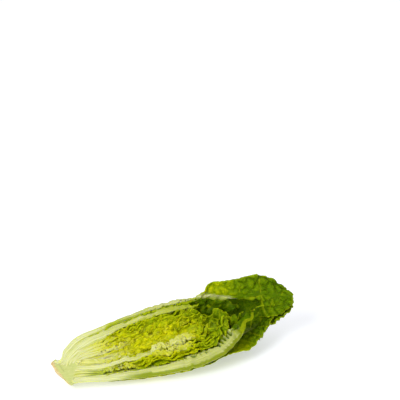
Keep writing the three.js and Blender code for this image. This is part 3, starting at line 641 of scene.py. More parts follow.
    # how pale: the fleshy foot of the leaf, its rib, and its veins
    lo_p, hi_p = FLESHY.get(leaf["name"], (26, 74))
    foot_pale = 1 - smooth(lo_p, hi_p, x + noise(x / 20, across / 10, k) * (hi_p - lo_p) * 0.25)
    breadth = 6.0 if k >= 8 and not leaf["stem"] else 12.0
    rib_pale = np.exp(-((across / mix(breadth, 2.0, np.clip(s * 1.25, 0, 1))) ** 2)) * (1 - smooth(0.85, 1.0, s))
    if k >= 8 and not leaf["stem"]:
        rib_pale = rib_pale * (1 - 0.93 * smooth(40, 78, x))
    if leaf["name"] == "heart_leaf_front_rib":
        rib_pale = np.maximum(rib_pale * (1 - smooth(88, 100, x)), (0.52 + 0.5 * noise(x / 3.2, arc / 4, 8.8)) * smooth(82, 92, x) * (1 - smooth(122, 134, x)) * (1 - smooth(8, 14, arc)))
    if leaf["name"] == "leaf_wrap_back":
        rib_pale = rib_pale * (1 - smooth(60, 110, x))
    if leaf["name"] == "leaf_front_fold":
        rib_pale = rib_pale * (1 - smooth(140, 158, x))
        rib_pale = np.maximum(rib_pale, (0.36 + 0.5 * noise(x / 3.0, arc / 3, 5.8)) * smooth(33, 42, x) * (1 - smooth(58, 68, x)) * (1 - smooth(2, 5, arc)))
    frilly = np.zeros_like(x)
    lumpy = np.zeros_like(x)
    if leaf["name"] in ("heart_leaf_front_rib", "heart_leaf_08", "heart_leaf_06"):
        lumpy = 0.5 * smooth(82, 92, x) * (1 - smooth(124, 136, x)) * (1 - smooth(8, 14, arc))
    if leaf["name"] in ("heart_leaf_02", "heart_leaf_04", "leaf_front_fold"):
        frilly = smooth(32, 42, x) * (1 - smooth(60, 72, x)) * (1 - smooth(3, 6, arc))
        rib_pale = np.maximum(rib_pale * (1 - 0.5 * frilly), (0.22 + 0.5 * noise(x / 2.6, arc / 3, 5.8)) * frilly)
    if leaf["name"] in ("heart_leaf_08", "heart_leaf_06"):
        rib_pale = np.maximum(rib_pale, (0.42 + 0.5 * noise(x / 3, arc / 3, 7.8)) * smooth(84, 94, x) * (1 - smooth(118, 132, x)) * (1 - smooth(3, 6, arc)) * (1 if leaf["name"] == "heart_leaf_08" else 0.6))
    if k >= 8 and not leaf["stem"]:
        rib_pale = np.clip(rib_pale, 0, 0.8)
    comb_cut = np.zeros_like(x)
    zone = np.zeros_like(x)
    if leaf["name"] == "leaf_front_band":
        # the side veins of the band leaf stand out like a comb where its rib thins into the blade
        comb = 0.5 + 0.5 * np.cos(2 * math.pi * (x + 0.5 * arc + noise(x / 11, 2.2, 0.4) * 3.4) / (6.3 + 0.8 * noise(x / 20, 5.1, 3.3)))
        comb = smooth(0.25, 0.95, comb)
        zone = smooth(92, 122, x) * (1 - smooth(166, 178, x)) * mix(0.62, 1, smooth(0.0, 4.0, arc)) * (1 - smooth(19, 26, arc))
        comb_cut = zone * (1 - comb)
        tooth = comb * (1 - smooth(11.0, 16.0, arc + noise(x / 3.1, 4.4, 0.1) * 2.5))
        whole = 1 - smooth(9.0, 13.0, arc)
        # the rib's paleness fades by a fifth from x 108 to 150: partly a greener rib, partly painted shade on that end
        # of the band
        rib_pale = mix(whole, np.maximum(1 - smooth(0.6, 3.0, arc), tooth), smooth(96, 122, x)) * (1 - smooth(167, 177, x + 0.35 * arc + noise(arc / 1.5, 3.0, 1.0) * 4)) * (1 - 0.2 * smooth(108, 150, x))
    pale = np.clip(np.maximum(foot_pale, rib_pale), 0, 1)
    if free == "back":
        pale = pale * (1 - 0.8 * np.exp(-(((x - 66 + 4 * noise(x / 5, a / 9, 3.3)) / 11) ** 2)) * smooth(2.6, 0.6, 90 - np.abs(a)))
    if free == "back":
        wedge = strokes(x, across, LOBE_RIB)
        pale = np.where(x > 150, np.clip(wedge * 1.15, 0, 1), pale)
    at_rib = np.exp(-((across / mix(9, 1.6, np.clip(s * 1.1, 0, 1))) ** 2)) * (1 - (0.85 * smooth(44, 74, x) if k >= 8 and not leaf["stem"] else 0))
    lamina = (1 - at_rib) * (smooth(30, 90, x) if free else smooth(24, 58, x)) * (1 - 0.85 * pale)

    # side veins leave the midrib on both sides; between them the blade is blistered
    side = np.where(across > 0, 1.0, -1.0)
    reach = np.abs(across)
    bend = noise(x / 16, across / 16, k + 0.5) * 3.0
    step = 13.0 if free else 9.0
    t1 = (x - reach * 0.82 + 0.006 * reach**2 + bend) / step + 0.37 * (side > 0) + k * 0.31
    if leaf["name"] == "leaf_outer_bottom":
        # uneven spacing, and veins of uneven strength
        t1 = t1 + 0.22 * np.sin(x / 15 + 1.3 * side) + 0.10 * np.sin(x / 6.1 + 2.1 * side)
    to_vein = np.abs(t1 - np.round(t1)) * step
    width = np.clip(1.15 - reach / 60, 0.4, 1.2)
    lateral = np.exp(-((to_vein / width) ** 2)) * smooth(0.5, 3, reach) * (1 - smooth(30, 52, reach))
    if leaf["name"] == "leaf_outer_bottom":
        lateral = lateral * (0.70 + 0.30 * np.sin(2.4 * np.round(t1) + side))
    p1 = x * 0.77 - reach * 0.64 + noise(x / 9, across / 9, k + 1.5) * 2.2
    p2 = x * 0.64 + reach * 0.77 + noise(x / 9 + 5, across / 9, k + 3.5) * 2.2
    big = 6.4 if free else 4.6
    if free == "back":
        lateral = np.where(lobe, np.clip(strokes(x, across, LOBE_VEINS), 0, 1), lateral)
        big = 7.6
    c1, c2 = cells(p1 / big, side * 40 + p2 / (big * 1.25), k + 1)
    s1, s2 = cells(p1 / (big * 0.45) + 31, side * 90 + p2 / (big * 0.5), k + 60)
    gap1, gap2 = c2 - c1, s2 - s1
    mesh1 = 1 - smooth(0.02, 0.16, gap1)
    vein = np.clip(np.maximum(lateral, np.maximum((0.2 if free else 0.38) * mesh1, 0.16 * (1 - smooth(0.03, 0.2, gap2)))), 0, 1)
    near_vein = np.exp(-((to_vein / 2.2) ** 2)) if free != "back" else lateral
    blister = (0.75 * smooth(0, 0.55, gap1) + 0.3 * smooth(0, 0.5, gap2)) * (1 - 0.8 * near_vein)
    bump = -blister * lamina * (3.6 if free else 1.15)
    if free == "front":
        bump = bump * mix(0.16, 1, smooth(176, 196, x))
    # painted shade: the green is darkened in the creases between the blisters
    painted_crease_shade = (0.6 - blister) * lamina * (0.35 if free else 0.34)
    if not free:
        close = 1.7 if k >= 20 else 2.9
        frizz = noise(x / 2.9, across / close, k + 70) * 0.5 + noise(x / 1.9, across / close * 1.5, k + 76) * 0.22
        bump = bump + frizz * smooth(26, 60, x) * (0.5 if leaf["name"] in RIBS else 2.1 if k >= 18 else 1.2) * (1 - 0.8 * smooth(122, 146, x))
        bump = bump * (1 - (0.8 if leaf["name"] in ("heart_leaf_04", "heart_leaf_07") else 0.45) * smooth(128, 150, x))
    if free == "back":
        # the lobe sinks away under its rib, behind the vein that runs down across it
        sunk = smooth(3.6, 7.0, across) * (1 - smooth(206.5, 209.5, x - 0.05 * across)) * smooth(172, 186, x)
        bump = bump * (1 - 0.75 * sunk) + 4.2 * sunk + noise(x / 13, across / 13, 77.7) * 1.3 * w
        bump = bump + noise(x / 3.4, across / 3.8, 55.5) * 1.3 * smooth(150, 158, x) * (1 - smooth(184, 200, x)) * smooth(1.0, -4.0, across)
        bump = bump + noise(x / 3.6, a / 5, 71.3) * 1.25 * smooth(88, 108, x) * (1 - smooth(150, 170, x)) * smooth(-74, -84, -np.abs(a)) * 1.0
    if leaf["name"] == "leaf_front_band":
        bump = bump * (1 - smooth(92, 110, x) * (1 - smooth(24, 30, arc)))
        curl_of_band = 1 - 0.75 * smooth(170, 184, x)
    if leaf["name"] == "leaf_wrap_back":
        bump = bump + noise(x / 2.7, across / 5, 33.3) * 0.9 * smooth(30, 60, x) * (1 - smooth(136, 156, x))
    # ruffled margins
    ruffle = np.exp(-margin / 5.5) * smooth(60, 130, x)
    along_edge = x / 5.2 + across / 7.0
    curl = (noise(along_edge, k * 1.7, 2.0) * 2.4 + noise(along_edge * 2.1, k * 1.7, 5.0) * 0.9) * ruffle
    curl = curl * (1.0 if free else 1.25) * (0.3 if free == "front" else 1)
    if leaf["name"] in ("heart_leaf_04", "heart_leaf_07", "heart_leaf_02", "leaf_front_fold"):
        calm = smooth(138, 150, x)
        curl = curl * (1 - calm) + calm * ruffle * noise(along_edge * 0.5, k * 1.7, 2.0) * 3.2
    if leaf["name"] in ("leaf_wrap_back", "leaf_front_band"):
        curl = curl * (0.4 if leaf["name"] == "leaf_wrap_back" else 0.4 * curl_of_band)
    if free == "bottom":
        curl = curl * mix(0.34, 0.14, smooth(190, 216, x))
    edge_cut = np.minimum(np.where(cut_hi & (w < 0.5), (1 - v) * 0.5 * wide, 99), np.where(cut_lo & (w < 0.5), (v + 1) * 0.5 * wide, 99))
    flat_n = np.where((edge_cut < 0.02)[..., None], N * np.array([1, 1, 0]), N)
    flat_n = np.where((edge_cut < 0.02)[..., None], unit(flat_n), flat_n)
    mid = mid + flat_n * (bump + curl)[..., None]
    for lo_x, hi_x, over, down, frilled in CURLED.get(leaf["name"], ()):
        # past the end of the short front rib its frilled blade folds over towards the back edge
        here = smooth(lo_x, lo_x + 7, x) * (1 - smooth(hi_x - 9, hi_x, x)) * smooth(30, 60, a)
        frill = frilled * np.sin(2 * math.pi * (x + noise(x / 9, 1.1 + k, 6.6) * 4) / (4.1 + 0.25 * (k % 5)))
        mid[..., 1] += (over * (1 + 0.5 * noise(x / 11, k * 1.3, 2.7)) + frill) * here * np.exp(mid[..., 2] / 3.4)

    T = half_blade(leaf, x, a, s)
    for name, lo_x, hi_x, body in (("heart_leaf_front_rib", 84, 136, 1.5), ("heart_leaf_08", 84, 124, 1.0), ("heart_leaf_02", 34, 74, 0.8), ("heart_leaf_04", 36, 70, 0.7)):
        if leaf["name"] == name:
            lump = np.clip(0.5 + 1.1 * noise(x / 3.1, 3.3 * k, 0.9), 0, 1.3)
            T = T + body * lump * smooth(lo_x, lo_x + 8, x) * (1 - smooth(hi_x - 10, hi_x, x)) * np.exp(-((arc / 3.2) ** 2)) * (a > 0)
    N = normals(mid)
    hold = np.where(edge_cut < 0.02, 0.0, smooth(0, 1, edge_cut / np.maximum(2.2 * T, 1.0)))
    N = unit(N * np.stack([np.ones_like(hold), np.ones_like(hold), hold], -1))
    T = T + 0.22 * vein * lamina
    shrink = mix(0.45, 1, np.clip(margin / 3.0, 0, 1))
    T = T * shrink
    if free:
        stout = mix(1.5, 0.5, smooth(172, 190, x)) if free == "back" else 0.7
        T = mix(T, 0.42 + stout * np.exp(-((across / 2.6) ** 2)) * (1 - smooth(196, 226, x)) + 0.2 * vein, w)
    outside_T = T + depth_field(leaf, x, a, PLUMP_OUT) * shrink * (1 - w)
    inside_T = T + depth_field(leaf, x, a, PLUMP_IN) * shrink * (1 - w)
    if leaf["name"] in ("heart_leaf_13", "heart_leaf_12"):
        inside_T = inside_T + (2.6 if leaf["name"] == "heart_leaf_13" else 1.2) * (1 - smooth(26, 46, x)) * shrink
    if leaf["name"] == "leaf_front_band":
        fan = smooth(163, 170, x) * (1 - smooth(172, 179, x)) * np.exp(-((arc / 9.0) ** 2))
        tall = 0.75 + 0.9 * noise(x / 4.3, 6.1, 2.9)
        inside_T = inside_T * (1 - 0.5 * comb_cut * (1 - fan)) + 2.1 * comb * zone * tall * (1 - 0.5 * smooth(138, 152, x)) + fan * (2.6 + 3.4 * comb)
    outer = mid + N * outside_T[..., None]
    inner = mid - N * inside_T[..., None]

    # the cut edges stand slightly above or below the knife's plane
    lift = (noise(x / 12, k * 4.1, 0.3) * 1.3 + noise(x / 4.8, k * 2.7, 4.3) * 0.7 - 0.7) * smooth(40, 85, x)
    packed = smooth(0, 30, a) * smooth(44, 60, x) * (1 - smooth(124, 138, x)) * (leaf["name"] in ("heart_leaf_02", "heart_leaf_04", "heart_leaf_06", "heart_leaf_07", "heart_leaf_08"))
    lift = lift - 5.2 * smooth(0.06, 0.5, noise(x / 9, k * 3.9, 9.3)) * smooth(46, 84, x) * (1 - 0.65 * packed)
    if leaf["name"] in ("leaf_front_fold", "heart_leaf_02", "heart_leaf_04", "heart_leaf_06", "heart_leaf_07", "heart_leaf_08"):
        lift = lift - np.where(a > 0, 0.35, 0) * smooth(22, 40, x) * (1 - smooth(80, 110, x))
    if leaf["name"] == "leaf_front_fold":
        lift = lift - 2.2 * smooth(100, 125, x) * (1 - smooth(160, 176, x))
    lift = lift + (0.7 * noise(x / 26, k * 6.1, 2.2) - 0.35) * smooth(14, 34, x) * (1 - smooth(60, 90, x))
    for lo_x, hi_x, over, down, frilled in CURLED.get(leaf["name"], ()):
        here = smooth(lo_x - 4, lo_x + 5, x) * (1 - smooth(hi_x - 7, hi_x + 2, x)) * smooth(30, 60, a)
        lift = lift * (1 - here) + down * here
    if (leaf["stem"] and leaf["name"] != "heart_leaf_front_rib") or k < 6:
        lift = lift * 0.22
    if leaf["name"] == "leaf_front_fold":
        lift = lift + 1.1 * smooth(32, 40, x) * (1 - smooth(58, 68, x)) - 9.0 * smooth(160, 172, x)
    if leaf["name"] == "heart_leaf_front_rib":
        lift = lift * smooth(80, 90, x)
    lift = lift - 1.3 * (1 - smooth(-4.6, -2.0, x - root)) * smooth(5, 15, root)
    for P in (outer, inner, mid):
        near = np.exp(-edge_cut / 5.0)
        P[..., 2] += lift * near
        cap = lift + 0.02
        P[..., 2] = np.where((w < 0.5) & (edge_cut < 30), np.minimum(P[..., 2], cap), P[..., 2])
        P[..., 2] = np.where(edge_cut < 0.02, lift, P[..., 2])
    if leaf["name"] == "leaf_front_band":
        shoulder = smooth(44, 76, x) * (1 - smooth(168, 182, x))
        outer[..., 2] -= 2.8 * shoulder * np.exp(-edge_cut / 3.0)
        inner[..., 2] -= (1.2 * fan + 1.6 * fan * (1 - comb)) * np.exp(-edge_cut / 3.0)
        inner[..., 0] += 5.5 * fan * np.exp(-edge_cut / 4.0)

    # ---- close the plate: outer face, inner face, and a wall with worn corners all round
    nv = (nr + 1) * (nc + 1)
    verts = [outer.reshape(-1, 3), inner.reshape(-1, 3)]
    quads = []
    I = np.arange(nv).reshape(nr + 1, nc + 1)
    quads.append(np.stack([I[:-1, :-1], I[:-1, 1:], I[1:, 1:], I[1:, :-1]], -1).reshape(-1, 4))
    J = I + nv
    quads.append(np.stack([J[:-1, :-1], J[1:, :-1], J[1:, 1:], J[:-1, 1:]], -1).reshape(-1, 4))
    # the boundary loop, in order
    loop = np.concatenate([I[0, :-1], I[:-1, -1], I[-1, :0:-1], I[:0:-1, 0]])
    po, pi = outer.reshape(-1, 3)[loop], inner.reshape(-1, 3)[loop]
    thick = np.linalg.norm(po - pi, axis=1, keepdims=True)
    outward = mid.reshape(-1, 3)[loop]
    ii, jj = np.unravel_index(loop, (nr + 1, nc + 1))
    prev = mid[np.clip(ii - np.where(ii == nr, 1, 0) + np.where(ii == 0, 1, 0), 0, nr), np.clip(jj - np.where(jj == nc, 1, 0) + np.where(jj == 0, 1, 0), 0, nc)]
    outward = unit(outward - prev)
    is_cut = (edge_cut.reshape(-1)[loop] < 0.02)[:, None]
    outward = np.where(is_cut, np.array([0, 0, 1.0]), outward)
    swell = np.where(is_cut, np.minimum(0.3, thick * 0.16), thick * 0.3)
    base_id = 2 * nv
    m = len(loop)
    pale_loop = pale.reshape(-1)[loop]
    steps = (0.06, 0.2, 0.31, 0.64, 0.92) if leaf["name"] == "leaf_front_band" else (0.07, 0.26, 0.5, 0.74, 0.93)
    rings = [loop]
    lx = mid.reshape(-1, 3)[loop, 0]
    for q, t in enumerate(steps):
        dome = (1 - (2 * t - 1) ** 2) ** 0.5
        relief = 0.13 * np.minimum(thick, 3.0) * noise(lx[:, None] / 16, t * thick * 1.3, k + 0.7) * smooth(1.2, 3.0, thick)
        rough = np.minimum(thick, 2.6) * 0.34 * (noise(lx[:, None] / 2.4, t * thick / 1.7, k + 4.4) - 0.35) * smooth(0.9, 1.8, thick) * (1 - pale_loop[:, None])
        up = np.where(is_cut, swell * (dome - 0.15) + relief + rough * dome, swell * dome * 1.6)
        along = mix(po, pi, t)
        if leaf["name"] == "leaf_front_band":
            along[:, 2] = mix(po[:, 2], pi[:, 2], smooth(0.0, 0.3, t))
        verts.append(along + outward * up)
        rings.append(base_id + q * m + np.arange(m))
    rings.append(loop + nv)
    for A, B in zip(rings[:-1], rings[1:]):
        quads.append(np.stack([A, B, np.roll(B, -1), np.roll(A, -1)], -1))
    V = np.concatenate(verts)
    Q = np.concatenate(quads)
    if signed_volume(V, Q) < 0:
        Q = Q[:, ::-1]

    def spread(field, wall=None):
        flat = field.reshape(-1)
        ring_value = flat[loop] if wall is None else np.where(is_cut[:, 0], wall, flat[loop])
        return np.concatenate([flat, flat] + [ring_value] * len(steps))

    d0 = leaf["depth_at"](a)
    front = smooth(0, 40, a) * (0 if free else 1)
    green = leaf["green"] * mix(smooth(20, 120, x), smooth(8, 30, x), front) + 0.36 * smooth(106, 164, x) * (1 - leaf["green"])
    green = green + 0.14 * front * smooth(12, 26, x) * (1 - smooth(64, 96, x)) * (1 if d0.mean() < 0.66 else 0)
    if k < 8:
        green = np.maximum(green, 0.26)
    green = green - 0.3 * frilly - 0.22 * packed
    if leaf["name"] == "heart_leaf_front_rib":
        green = green - 0.09 * smooth(84, 92, x)
    if leaf["name"] == "leaf_wrap_back":
        # darker from x 138 on, painted shade where this leaf lines the hollow under the back lobe; also a little darker
        # below x 110
        green = green + 0.5 * smooth(138, 156, x) + 0.22 * (1 - smooth(70, 110, x))
    if leaf["name"] in ("heart_leaf_07", "heart_leaf_04"):
        # greener and darker towards the tips from x 144: partly the tips' own green, partly painted shade under the
        # curled blade above them
        green = green + 0.1 * smooth(144, 156, x)
    if leaf["name"] == "leaf_outer_front":
        # lighter and yellower on the front side below the cut edge: partly the leaf's own tone, partly painted light on
        # a face the lamp barely reaches
        green = green - 0.46 * smooth(24, 56, a) * smooth(40, 90, x) * (1 - smooth(176, 196, x))
    if leaf["name"] == "leaf_front_band":
        # painted shade on the band leaf: the hollows between the comb's teeth are darker than the blade's own green;
        # the inner face darkens from x 100, and more from x 150 as painted shade; the tip end darkens near the cut
        # edge; and a dark patch at x 171 to 188 is painted shade for the hole behind the fold
        green = green + 0.4 * comb_cut + 0.25 * smooth(5, 12, arc) * smooth(100, 130, x) + 0.12 * smooth(172, 186, x) * (1 - smooth(3, 8, arc)) + 0.4 * smooth(150, 164, x) * smooth(3, 8, arc) + 0.8 * smooth(171, 176, x) * (1 - smooth(181, 188, x)) * smooth(0.8, 2.4, arc)
    if leaf["name"] == "leaf_outer_back":
        # painted light and shade on the back leaf: lighter from x 120 to about x 185, partly its own paler tone and
        # partly painted light where the lobe faces the lamp; darker where the lobe sinks under its rib, as painted
        # shade; lighter along the lobe's lit patches, as painted light; and the whole lobe a little lighter
        green = green - 0.34 * (1 - smooth(172, 200, x)) * smooth(120, 150, x)
        green = green + (0.42 * sunk - 0.13 - 0.12 * strokes(x, across, LOBE_PAINTED_LIGHT)) * w
    green = np.clip(green + painted_crease_shade, 0, 1)
    strip_green = 0.0
    if leaf["name"] == "leaf_front_band":
        strip_green = 0.24 * smooth(44, 80, x).reshape(-1)[loop]
    # painted highlight: a pale line along the leaf margins from x 110 on, drawn with the veins' colour
    rim = np.exp(-((margin / (1.7 if leaf["name"] == "heart_leaf_04" else 1.1)) ** 2)) * smooth(110, 140, x) * (0.75 if free else 0.9)
    vein_out = np.clip(np.maximum(vein * lamina, rim), 0, 1)
    if leaf["name"] == "leaf_wrap_back":
        # its veins fade into the same painted shade
        vein_out = vein_out * (1 - 0.65 * smooth(130, 150, x))
    cutface = np.zeros_like(x)
    held = np.where(foot_pale > rib_pale, 0.62 if k >= 7 else 0.8, 1.0)
    pale_face = pale * np.where(lobe, 1.0, held)
    # across a cut the flesh is palest in the middle and greener by each skin
    th = thick[:, 0]

    def inner_skin(t):
        return ((1 - t) * th < 1.1) * smooth(3, 12, lx) * (1 - smooth(70, 96, lx)) if leaf["name"] == "leaf_outer_back" else 0.0 * th

    wall_pale = []
    for t in steps:
        skin = np.exp(-((min(t, 1 - t) * th / 0.42) ** 2)) * (1 - 0.35 * smooth(0, 30, 40 - lx))
        face = pale_loop * (1 - 0.6 * skin)
        if leaf["name"] == "leaf_front_band":
            strip = (t * th < 2.6) * smooth(44, 70, lx)
            face = face * (1 - 0.88 * strip) * (1 - (0.5 * fan * (1 - comb) + 0.5 * fan).reshape(-1)[loop] * smooth(0.2, 0.5, t))
        if leaf["name"] == "leaf_outer_back":
            # the skin between this rib and the next one shows as a green line
            face = face * (1 - 0.85 * inner_skin(t))
        wall_pale.append(np.where(is_cut[:, 0], face, pale_face.reshape(-1)[loop]))
    ga = across.reshape(-1)
    grain = np.concatenate([ga, ga + (outside_T + inside_T).reshape(-1)] + [ga[loop] + t * th for t in steps])
    attrs = dict(
        green=np.concatenate([green.reshape(-1), green.reshape(-1)] + [green.reshape(-1)[loop] + (strip_green * (t * th < 2.6) + 0.12 * inner_skin(t)) * is_cut[:, 0] for t in steps]),
        pale=np.concatenate([pale_face.reshape(-1), pale_face.reshape(-1)] + wall_pale),
        vein=spread(vein_out),
        cutface=spread(cutface, 1 - smooth(146, 153, lx) if leaf["name"] == "leaf_wrap_back" else 1.0),
        white=spread(np.where(lobe, 0.55, np.maximum(1 - smooth(36, 80, x), lumpy)) * (1 - 0.3 * smooth(24, 48, x) * (leaf["name"] == "leaf_back_rib"))),
        at=np.stack([spread(x), grain, spread(np.full_like(x, k * 23.0))], -1),
        floor=np.concatenate([np.zeros(nv), ((outside_T + inside_T) * 0.9).reshape(-1)] + [(t * 0.9 * (outside_T + inside_T)).reshape(-1)[loop] for t in steps]),
    )
    return make_mesh("romaine_" + leaf["name"], V, Q, attrs)


def build_core():
    """The stem: a short cone under the leaves, sliced off at the butt, with the leaf scars round its foot."""
    na, = (72,)
    prof = [(-3.3, 0.80), (-3.2, 0.90), (-2.7, 0.955), (-1.9, 0.98), (-0.9, 0.99), (0.0, 0.99), (0.8, 0.98)]
    xs = [p[0] for p in prof] + list(np.linspace(1.6, 25.6, 34))
    a = np.linspace(-90, 90, na + 1)
    rows = []
    for i, x in enumerate(xs):
        X = np.full_like(a, x)
        full = head_radius(np.maximum(X, 0), a) - 0.35
        if i < len(prof):
            r = full * prof[i][1]
        else:
            r = mix(full, core_radius(X) + 0.25, smooth(0.8, 2.4, X))
            r = np.where(X > 2.4, core_radius(X) + 0.25, r)
        r = r + 1.5 * np.exp(-(((x - 6) / 4.5) ** 2)) * smooth(50, 85, -a)
        r = r + 0.25 * noise(a / 14, x / 3.0, 4.4) * smooth(0, 6, 90 - np.abs(a))
        p = polar(X, a, np.maximum(r, 0.15))
        rows.append(p)
    P = np.array(rows)
    nr, nc = P.shape[0] - 1, P.shape[1] - 1
    P = warp(P, np.ones(P.shape[:2]))
    P[..., 0] = np.where(P[..., 0] > 6, 6 + (P[..., 0] - 6) * 0.74, P[..., 0])
    worn = curve([-16.5, -14.4, -8, 0, 4.5, 8, 11, 14, 15.9, 17], [2.6, 1.6, 0.6, -0.9, -2.3, -2.8, -1.6, 0.6, 3.4, 5.0])
    P[..., 0] += (worn(P[..., 1]) + 0.10 * np.maximum(-P[..., 2], 0)) * (1 - smooth(-1.5, 4.0, P[..., 0]))
    # the flat: a grid across the cut between the two edges of each row, and one over the butt
    ns = 26
    tt = np.linspace(0, 1, ns + 1)
    flat = []
    for i in range(nr + 1):
        row = mix(P[i, 0][None, :], P[i, -1][None, :], tt[:, None])
        row[1:-1, 2] += 0.10 * noise(row[1:-1, 0] / 3, row[1:-1, 1] / 3, 7.7)
        flat.append(row)
    flat = np.array(flat)
    nv = (nr + 1) * (nc + 1)
    I = np.arange(nv).reshape(nr + 1, nc + 1)
    quads = [np.stack([I[:-1, :-1], I[:-1, 1:], I[1:, 1:], I[1:, :-1]], -1).reshape(-1, 4)]
    inner_ids = nv + np.arange((nr + 1) * (ns - 1)).reshape(nr + 1, ns - 1)
    K = np.concatenate([I[:, :1], inner_ids, I[:, -1:]], 1)
    quads.append(np.stack([K[:-1, :-1], K[1:, :-1], K[1:, 1:], K[:-1, 1:]], -1).reshape(-1, 4))
    verts = [P.reshape(-1, 3), flat[:, 1:-1].reshape(-1, 3)]
    # end caps: rings drawn in towards the middle of each end
    V = np.concatenate(verts)
    for end, row in ((0, 0), (1, nr)):
        rim = np.concatenate([I[row, :], K[row, -2:0:-1]])
        centre = V[rim].mean(0) * np.array([1, 1, 1.0])
        last = rim
        steps = (0.8, 0.55, 0.3, 0.1) if end == 0 else (0.5,)
        for q in steps:
            new = mix(centre[None, :], V[rim], q)
            new[:, 0] += (0.5 * (1 - q) + 0.14 * noise(new[:, 1] / 2.2, new[:, 2] / 2.2, 2.2)) * (1 if end == 0 else 0)
            new[:, 2] = np.minimum(new[:, 2], V[rim][:, 2] * q)
            ids = len(V) + np.arange(len(rim))
            V = np.concatenate([V, new])
            Qn = np.stack([last, ids, np.roll(ids, -1), np.roll(last, -1)], -1)
            quads.append(Qn if end == 0 else Qn[:, ::-1])
            last = ids
        c = len(V)
        V = np.concatenate([V, centre[None, :] + (np.array([[0.5, 0, 0]]) if end == 0 else 0)])
        tri = np.stack([last, np.full(len(last), c), np.roll(last, -1)], -1)
        if end == 0:
            tris = [tri]
            first_cap = len(V) - nv - (nr + 1) * (ns - 1)
        else:
            tris.append(tri[:, ::-1])
    Q = np.concatenate(quads)
    T3 = np.concatenate(tris)
    if signed_volume(V, Q) < 0:
        Q, T3 = Q[:, ::-1], T3[:, ::-1]
    n = len(V)
    place = np.concatenate([np.repeat(xs, nc + 1), np.repeat(xs, ns - 1), np.full(first_cap, -3.4), np.full(n - nv - (nr + 1) * (ns - 1) - first_cap, 26.0)])
    butt = 1 - smooth(-3.3, -2.8, place - 1.0 * smooth(9, 14, np.abs(V[:, 1] - 1)) - 0.3 * noise(V[:, 1] / 4, V[:, 2] / 4, 3.1))
    attrs = dict(
        green=np.full(n, 0.1), pale=np.ones(n), vein=np.zeros(n),
        cutface=np.where(np.abs(V[:, 2]) < 0.3, 1.0, 0.0), butt=butt,
        at=np.stack([V[:, 0], V[:, 1], V[:, 2]], -1), floor=np.zeros(n),
    )
    return make_mesh("romaine_core", V, Q, attrs, T3)


# ---------------------------------------------------------------- materials
def nodes_of(name):
    m = bpy.data.materials.new(name)
    m.use_nodes = True
    t = m.node_tree
    t.nodes.clear()
    return m, t


def add(t, kind, **sets):
    n = t.nodes.new(kind)
    for key, value in sets.items():
        if key.startswith("in_"):
            n.inputs[key[3:].replace("_", " ")].default_value = value
        else:
            setattr(n, key, value)
    return n


def attribute(t, name):
    n = t.nodes.new("ShaderNodeAttribute")
    n.attribute_name = name
    return n


def math_node(t, op, a, b=None, clamp=False):
    n = t.nodes.new("ShaderNodeMath")
    n.operation = op
    n.use_clamp = clamp
    for i, v in enumerate((a, b)):
        if v is None:
            continue
        if isinstance(v, (int, float)):
            n.inputs[i].default_value = v
        else:
            t.links.new(v, n.inputs[i])
    return n.outputs[0]


def mix_colour(t, factor, a, b, blend="MIX"):
    n = t.nodes.new("ShaderNodeMix")
    n.data_type = "RGBA"
    n.blend_type = blend
    for sock, v in ((n.inputs[0], factor), (n.inputs[6], a), (n.inputs[7], b)):
        if isinstance(v, bpy.types.NodeSocket):
            t.links.new(v, sock)
        else:
            sock.default_value = v if isinstance(v, (int, float)) else (*v, 1.0)
    return n.outputs[2]


def ramp(t, factor, stops):
    n = t.nodes.new("ShaderNodeValToRGB")
    e = n.color_ramp.elements
    while len(e) < len(stops):
        e.new(0.5)
    for el, (pos, c) in zip(e, stops):
        el.position = pos
        el.color = (*c, 1.0) if len(c) == 3 else c
    t.links.new(factor, n.inputs[0])
    return n.outputs[0]


def tex_noise(t, vector, scale, detail=3.0, rough=0.55, distortion=0.0):
    n = t.nodes.new("ShaderNodeTexNoise")
    n.inputs["Scale"].default_value = scale
    n.inputs["Detail"].default_value = detail
    n.inputs["Roughness"].default_value = rough
    n.inputs["Distortion"].default_value = distortion
    t.links.new(vector, n.inputs["Vector"])
    return n.outputs["Fac"]


def scaled(t, vector, sx, sy, sz=1.0):
    n = t.nodes.new("ShaderNodeMapping")
    n.inputs["Scale"].default_value = (sx, sy, sz)
    t.links.new(vector, n.inputs["Vector"])
    return n.outputs["Vector"]


